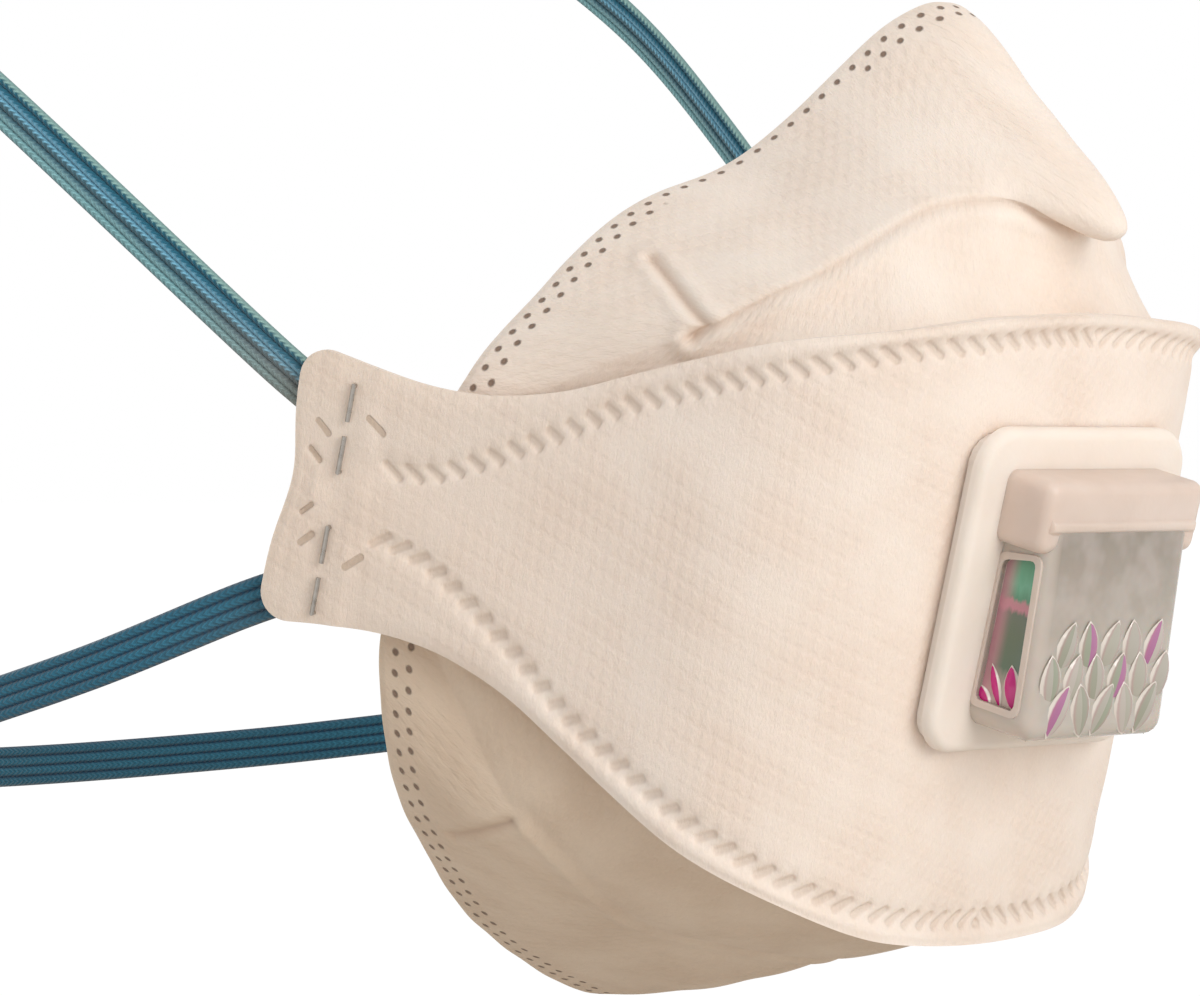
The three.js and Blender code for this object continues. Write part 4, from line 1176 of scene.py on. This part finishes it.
def elasticBraid(name, ribs, bands, groove, sharp, tabGreyShare):
    # braided elastic: polyester yarn over rubber, ribs with chevron stitches and grooves between them,
    # darkened with painted shade
    material, add, shader = newMaterial(name, Roughness=0.82, IOR=1.5, Sheen_Weight=0.2,
                                        Sheen_Roughness=0.5, Specular_IOR_Level=0.25)
    place = add("Attribute", output="Vector", attribute_name="bandPlace")
    run, across, fromTab = add("SeparateXYZ", {0: place}).node.outputs
    ribWidth = band["width"] / ribs
    shifted = add("Math", {0: across, 1: band["width"] / 2}, operation="ADD")
    inRib = add("Math", {0: shifted, 1: 0.0, 2: ribWidth}, operation="WRAP")
    off = add("Math", {0: inRib, 1: ribWidth / 2}, operation="SUBTRACT")
    off = add("Math", {0: off}, operation="ABSOLUTE")
    chevron = add("Math", {0: off, 1: braid["chevronSlope"], 2: run}, operation="MULTIPLY_ADD")
    stitch = add("Math", {0: chevron, 1: math.tau / braid["stitchPitch"]}, operation="MULTIPLY")
    stitch = add("Math", {0: stitch}, operation="SINE")
    fuzz = add("TexNoise", {"Vector": place, "Scale": braid["fuzzScale"], "Detail": 4.0})
    # the yarns cross at a saw-tooth border, so each colour's edge steps with the stitches
    teeth = add("Math", {0: stitch, 1: braid["tooth"], 2: off}, operation="MULTIPLY_ADD")
    grooveAndShade = add("MapRange", {"Value": teeth, "From Min": ribWidth * braid["grooveFrom"],
                            "From Max": ribWidth * braid["grooveTo"], "To Max": sharp}, **smoothly)
    height = add("Math", {0: stitch, 1: braid["stitch"]}, operation="MULTIPLY")
    height = add("Math", {0: fuzz, 1: braid["fuzz"], 2: height}, operation="MULTIPLY_ADD")
    height = add("Math", {0: grooveAndShade, 1: -braid["groove"], 2: height}, operation="MULTIPLY_ADD")
    bump = add("Bump", {"Height": height, "Distance": 0.001, "Strength": 0.9})
    stepped = add("Math", {0: stitch, 1: braid["colourTooth"], 2: shifted}, operation="MULTIPLY_ADD")
    share = add("Math", {0: stepped, 1: band["width"]}, operation="DIVIDE")
    colours = rampOver(add, share, 0.0, 1.0, bands)
    tone = add("MapRange", {"Value": stitch, "From Min": -1.0, "From Max": 1.0, "To Min": 0.88,
                            "To Max": 1.24})
    base = add("VectorMath", {0: colours, 1: tone}, operation="MULTIPLY")
    # painted shade in the grooves between the ribs
    base = add("Mix", {0: grooveAndShade, 6: base, 7: linear(groove)}, **colourMix)
    # greyer along the lower edge near the tab
    greyNearTab = add("MapRange", {"Value": fromTab, "From Min": braid["greyFrom"],
                              "From Max": braid["greyTo"], "To Min": tabGreyShare, "To Max": 0.0})
    lowerSide = add("MapRange", {"Value": share, "From Min": 0.3, "From Max": 0.75, "To Min": 1.0,
                                 "To Max": 0.15})
    greyNearTab = add("Math", {0: greyNearTab, 1: lowerSide}, operation="MULTIPLY")
    base = add("Mix", {0: greyNearTab, 6: base, 7: linear("#8a8278")}, **colourMix)
    setInputs(shader, {"Base Color": base, "Normal": bump})
    return material


dress(upperStrapPiece, elasticBraid("elasticPale", upperStrap["ribs"], upperBands, "#2f5a68", 0.45, 0.75))
dress(lowerStrapPiece, elasticBraid("elasticDark", lowerStrap["ribs"], lowerBands, "#0f3c58", 0.9, 0.1))


def milkyPlastic(name, pale, deep, roughness):
    # polypropylene, injection moulded: milky, slightly waxy, a fine spark-eroded grain
    material, add, shader = newMaterial(name, Roughness=roughness, IOR=1.49, Subsurface_Weight=0.35,
                                        Subsurface_Scale=0.003, Subsurface_Radius=(1.0, 0.75, 0.6),
                                        Specular_IOR_Level=0.4)
    place = add("TexCoord", output="Object")
    flow = add("TexNoise", {"Vector": place, "Scale": 90.0, "Detail": 3.0})
    grain = add("TexNoise", {"Vector": place, "Scale": 1800.0, "Detail": 2.0})
    bump = add("Bump", {"Height": grain, "Distance": 0.00006, "Strength": 0.6})
    share = add("MapRange", {"Value": flow, "From Min": 0.35, "From Max": 0.65})
    base = add("Mix", {0: share, 6: linear(pale), 7: linear(deep)}, **colourMix)
    setInputs(shader, {"Base Color": base, "Normal": bump})
    return material


def clearPlastic():
    # polycarbonate, clear and polished; the upper part of the front is painted greyer, painted shade of the
    # recess behind it
    material, add, shader = newMaterial("clearPolycarbonate", Roughness=0.14, IOR=1.585,
                                        Transmission_Weight=0.3, Subsurface_Weight=0.2,
                                        Subsurface_Scale=0.002)
    place = add("Attribute", output="Vector", attribute_name="valvePlace")
    out, back, up = add("SeparateXYZ", {0: place}).node.outputs
    # greyer towards the top: painted shade
    base = rampOver(add, up, -10.5, 15.0, ((-10.5, "#e8dccf"), (14.5, "#a99d8e"), (-7.0, "#dacfc2"),
                                            (0.0, "#cfc4b6"), (8.0, "#bdb1a3")))
    clouds = add("TexNoise", {"Vector": place, "Scale": 0.22, "Detail": 2.0})
    share = add("MapRange", {"Value": clouds, "From Min": 0.4, "From Max": 0.62, "To Max": 0.3})
    base = add("Mix", {0: share, 6: base, 7: linear("#e6d8d0")}, **colourMix)
    # the sides are milkier than the front
    sideways = add("Math", {0: out}, operation="ABSOLUTE")
    milky = add("MapRange", {"Value": sideways, "From Min": hood["half"] - 1.6,
                             "From Max": hood["half"] - 0.4, "To Max": 0.85})
    base = add("Mix", {0: milky, 6: base, 7: linear("#ecdccf")}, **colourMix)
    wave = add("TexNoise", {"Vector": place, "Scale": 0.5, "Detail": 1.0})
    bump = add("Bump", {"Height": wave, "Distance": 0.0003, "Strength": 0.3})
    setInputs(shader, {"Base Color": base, "Normal": bump})
    return material


def leafPlastic():
    # the same clear plastic, pressed into leaves that each show the film in another colour, with painted
    # light and shade on each half and a painted highlight round the outline
    material, add, shader = newMaterial("facetedPolycarbonate", Roughness=0.1, IOR=1.585,
                                        Transmission_Weight=0.2, Coat_Weight=0.5, Coat_Roughness=0.05)
    tone = add("Attribute", output="Fac", attribute_name="leafTone")
    edge = add("Attribute", output="Fac", attribute_name="leafEdge")
    base = rampOver(add, tone, 0.0, 1.0, ((0.0, "#a5a590"), (1.0, "#a5a590"), (0.2, "#bdb6a8"),
                                           (0.38, "#a2a78f"), (0.5, "#c9a4a8"), (0.58, "#b76a9c"),
                                           (0.65, "#c9beb2"), (0.74, "#9f86b8"), (0.82, "#bab5a4")))
    base.node.color_ramp.interpolation = "CONSTANT"
    rosy = add("MapRange", {"Value": edge, "From Min": 0.45, "From Max": 0.7, "To Max": 0.35})
    base = add("Mix", {0: rosy, 6: base, 7: linear("#c9808c")}, **colourMix)
    # a painted highlight round each leaf's outline
    outline = add("MapRange", {"Value": edge, "From Min": 0.68, "From Max": 0.84}, **smoothly)
    base = add("Mix", {0: outline, 6: base, 7: linear("#f0e6da")}, **colourMix)
    setInputs(shader, {"Base Color": base})
    return material


def petalPlastic():
    # petals low in the windows, deep magenta inside a pale outline
    material, add, shader = newMaterial("dyedPetals", Roughness=0.12, IOR=1.55, Coat_Weight=0.4)
    edge = add("Attribute", output="Fac", attribute_name="leafEdge")
    outline = add("MapRange", {"Value": edge, "From Min": 0.62, "From Max": 0.8}, **smoothly)
    base = add("Mix", {0: outline, 6: linear("#c8007a"), 7: linear("#efe6dc")}, **colourMix)
    setInputs(shader, {"Base Color": base})
    return material


def interferenceFilm():
    # thin coated polyester film: bands of green, grey and rose from interference
    material, add, shader = newMaterial("coatedFilm", Roughness=0.18, IOR=1.6, Coat_Weight=0.3)
    place = add("Attribute", output="Vector", attribute_name="valvePlace")
    out, back, up = add("SeparateXYZ", {0: place}).node.outputs
    streaks = add("Mapping", {"Vector": place, "Scale": (1.0, 1.6, 0.25)})
    streaks = add("TexNoise", {"Vector": streaks, "Scale": 1.0, "Detail": 3.0})
    shifted = add("Math", {0: streaks, 1: 1.6, 2: up}, operation="MULTIPLY_ADD")
    base = rampOver(add, shifted, -8.0, 12.0, ((-8.0, "#e0cfc6"), (11.5, "#4f9672"), (-4.0, "#b9a59b"),
                                                (-1.8, "#5e7460"), (2.0, "#66755f"), (4.6, "#6c7768"),
                                                (5.2, "#c98795"), (6.0, "#c48a92"), (6.5, "#5b977a"),
                                                (8.2, "#6fb394")))
    rosy = add("MapRange", {"Value": back, "From Min": -5.2, "From Max": -3.0, "To Max": 0.8}, **smoothly)
    base = add("Mix", {0: rosy, 6: base, 7: linear("#cf8f9c")}, **colourMix)
    setInputs(shader, {"Base Color": base})
    return material


def siliconeFlap():
    # the flap is a thin sheet of silicone rubber: translucent, satin, faintly green
    material, add, shader = newMaterial("siliconeSheet", Roughness=0.35, IOR=1.43, Subsurface_Weight=0.4,
                                        Subsurface_Scale=0.002)
    place = add("TexCoord", output="Object")
    clouds = add("TexNoise", {"Vector": place, "Scale": 160.0, "Detail": 3.0})
    base = add("Mix", {0: clouds, 6: linear("#b9bfa9"), 7: linear("#d9cfc6")}, **colourMix)
    bump = add("Bump", {"Height": clouds, "Distance": 0.0002, "Strength": 0.3})
    setInputs(shader, {"Base Color": base, "Normal": bump})
    return material


def stapleWire():
    # galvanised steel wire, drawn: a few duller patches
    material, add, shader = newMaterial("drawnSteelWire", Metallic=1.0, Roughness=0.3)
    place = add("TexCoord", output="Object")
    patches = add("TexNoise", {"Vector": place, "Scale": 900.0, "Detail": 3.0})
    base = add("Mix", {0: patches, 6: linear("#8a847e"), 7: linear("#cbc6bf")}, **colourMix)
    dull = add("MapRange", {"Value": patches, "To Min": 0.18, "To Max": 0.4})
    setInputs(shader, {"Base Color": base, "Roughness": dull})
    return material


milkyBlock = milkyPlastic("milkyPolypropylene", "#dfccbf", "#d6c2b4", 0.36)
milkyRim = milkyPlastic("wrappedPolypropylene", "#f3e5d9", "#eedfd2", 0.7)
for piece, material in (
    (valveHood, clearPlastic()), (windowRims, milkyBlock), (valveBlock, milkyBlock), (valveFlange, milkyRim),
    (leafFacets, leafPlastic()), (windowPetals, petalPlastic()), (windowFilm, interferenceFilm()),
    (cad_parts["valve_seat"], milkyRim), (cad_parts["valve_flap"], siliconeFlap()),
):
    dress(piece, material)
wire = stapleWire()
for name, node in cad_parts.items():
    if name.startswith("staple"):
        dress(node, wire)
print("materials set")

# how the pieces stand for the frame

softPieces = (
    (centrePanel, "centre_panel", "cloth"), (nosePanel, "nose_panel", "cloth"),
    (chinPanel, "chin_panel", "cloth"), (upperStrapPiece, "upper_head_strap", "strap_pale"),
    (lowerStrapPiece, "lower_head_strap", "strap_dark"),
)
for piece, node, slotName, *_ in softPieces + valvePieces:
    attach(piece, "root")
    if node:
        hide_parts(node)
print("pieces ride and replace")

# floor, light and camera

stage = {"radius": 12, "drop": 0.12, "shadowFadeFrom": 0.14, "shadowFadeTo": 0.52, "seenWhite": 1.0, "light": 0.55}
bpy.ops.mesh.primitive_circle_add(vertices=96, radius=stage["radius"], fill_type="NGON", location=(0, 0, 0))
floor = bpy.context.object
floor.name = "floor"
floor.data.transform(Matrix.Translation((0, 0, -stage["drop"])))
material, add, shader = newMaterial("floorShadowPool", Roughness=0.9, Specular_IOR_Level=0.1)
where = add("TexCoord", output="Object")
radius = add("VectorMath", {0: where}, output="Value", operation="LENGTH")
shadeFade = add("MapRange", {"Value": radius, "From Min": stage["shadowFadeFrom"], "From Max": stage["shadowFadeTo"]},
           **smoothly)
# near the mask the floor is a darker grey, a painted shadow pool, which fades out to the glowing white far
# floor
base = add("Mix", {0: shadeFade, 6: linear("#d3cdc5"), 7: linear("#000000")}, **colourMix)
# the far floor glows white, so that it meets the backdrop without a line
setInputs(shader, {"Base Color": base, "Emission Color": (1, 1, 1, 1), "Emission Strength": shadeFade})
floor.data.materials.append(material)

world = bpy.data.worlds.new("studio")
bpy.context.scene.world = world
world.use_nodes = True
seen = addNode(world.node_tree, "LightPath", output="Is Camera Ray")
strength = addNode(world.node_tree, "MapRange", {"Value": seen, "To Min": stage["light"],
                                                 "To Max": stage["seenWhite"]})
setInputs(world.node_tree.nodes["Background"], {"Color": (1, 1, 1, 1), "Strength": strength})
bpy.context.scene.view_settings.view_transform = "Standard"

lights = (
    ("keyLight", (-0.2, -1.3, 0.45), 0.8, 8.8, (1.0, 0.985, 0.97)),
    ("topLight", (-0.3, -0.4, 1.2), 0.6, 2.2, (1.0, 1.0, 1.0)),
    ("backLight", (0.5, 1.4, 0.7), 0.9, 6.0, (1.0, 0.99, 0.98)),
)
for name, place, size, power, colour in lights:
    lamp = bpy.data.lights.new(name, "AREA")
    lamp.energy, lamp.size, lamp.color = power, size, colour
    lampObject = bpy.data.objects.new(name, lamp)
    lampObject.location = place
    lampObject.rotation_euler = (-Vector(place)).to_track_quat("-Z", "Y").to_euler()
    bpy.context.scene.collection.objects.link(lampObject)

view = {"place": (-0.51276, -0.45133, 0.00515), "azimuth": -48.23, "elevation": 0.509, "lens": 160.95}
cameraData = bpy.data.cameras.new("camera")
cameraData.lens, cameraData.sensor_width = view["lens"], 36
cameraData.clip_start, cameraData.clip_end = 0.01, 50
camera = bpy.data.objects.new("camera", cameraData)
a, e = math.radians(view["azimuth"]), math.radians(view["elevation"])
backward = Vector((math.sin(a) * math.cos(e), -math.cos(a) * math.cos(e), math.sin(e)))
camera.location = view["place"]
camera.rotation_euler = (-backward).to_track_quat("-Z", "Y").to_euler()
bpy.context.scene.collection.objects.link(camera)
bpy.context.scene.camera = camera
print("stage, light and camera set")
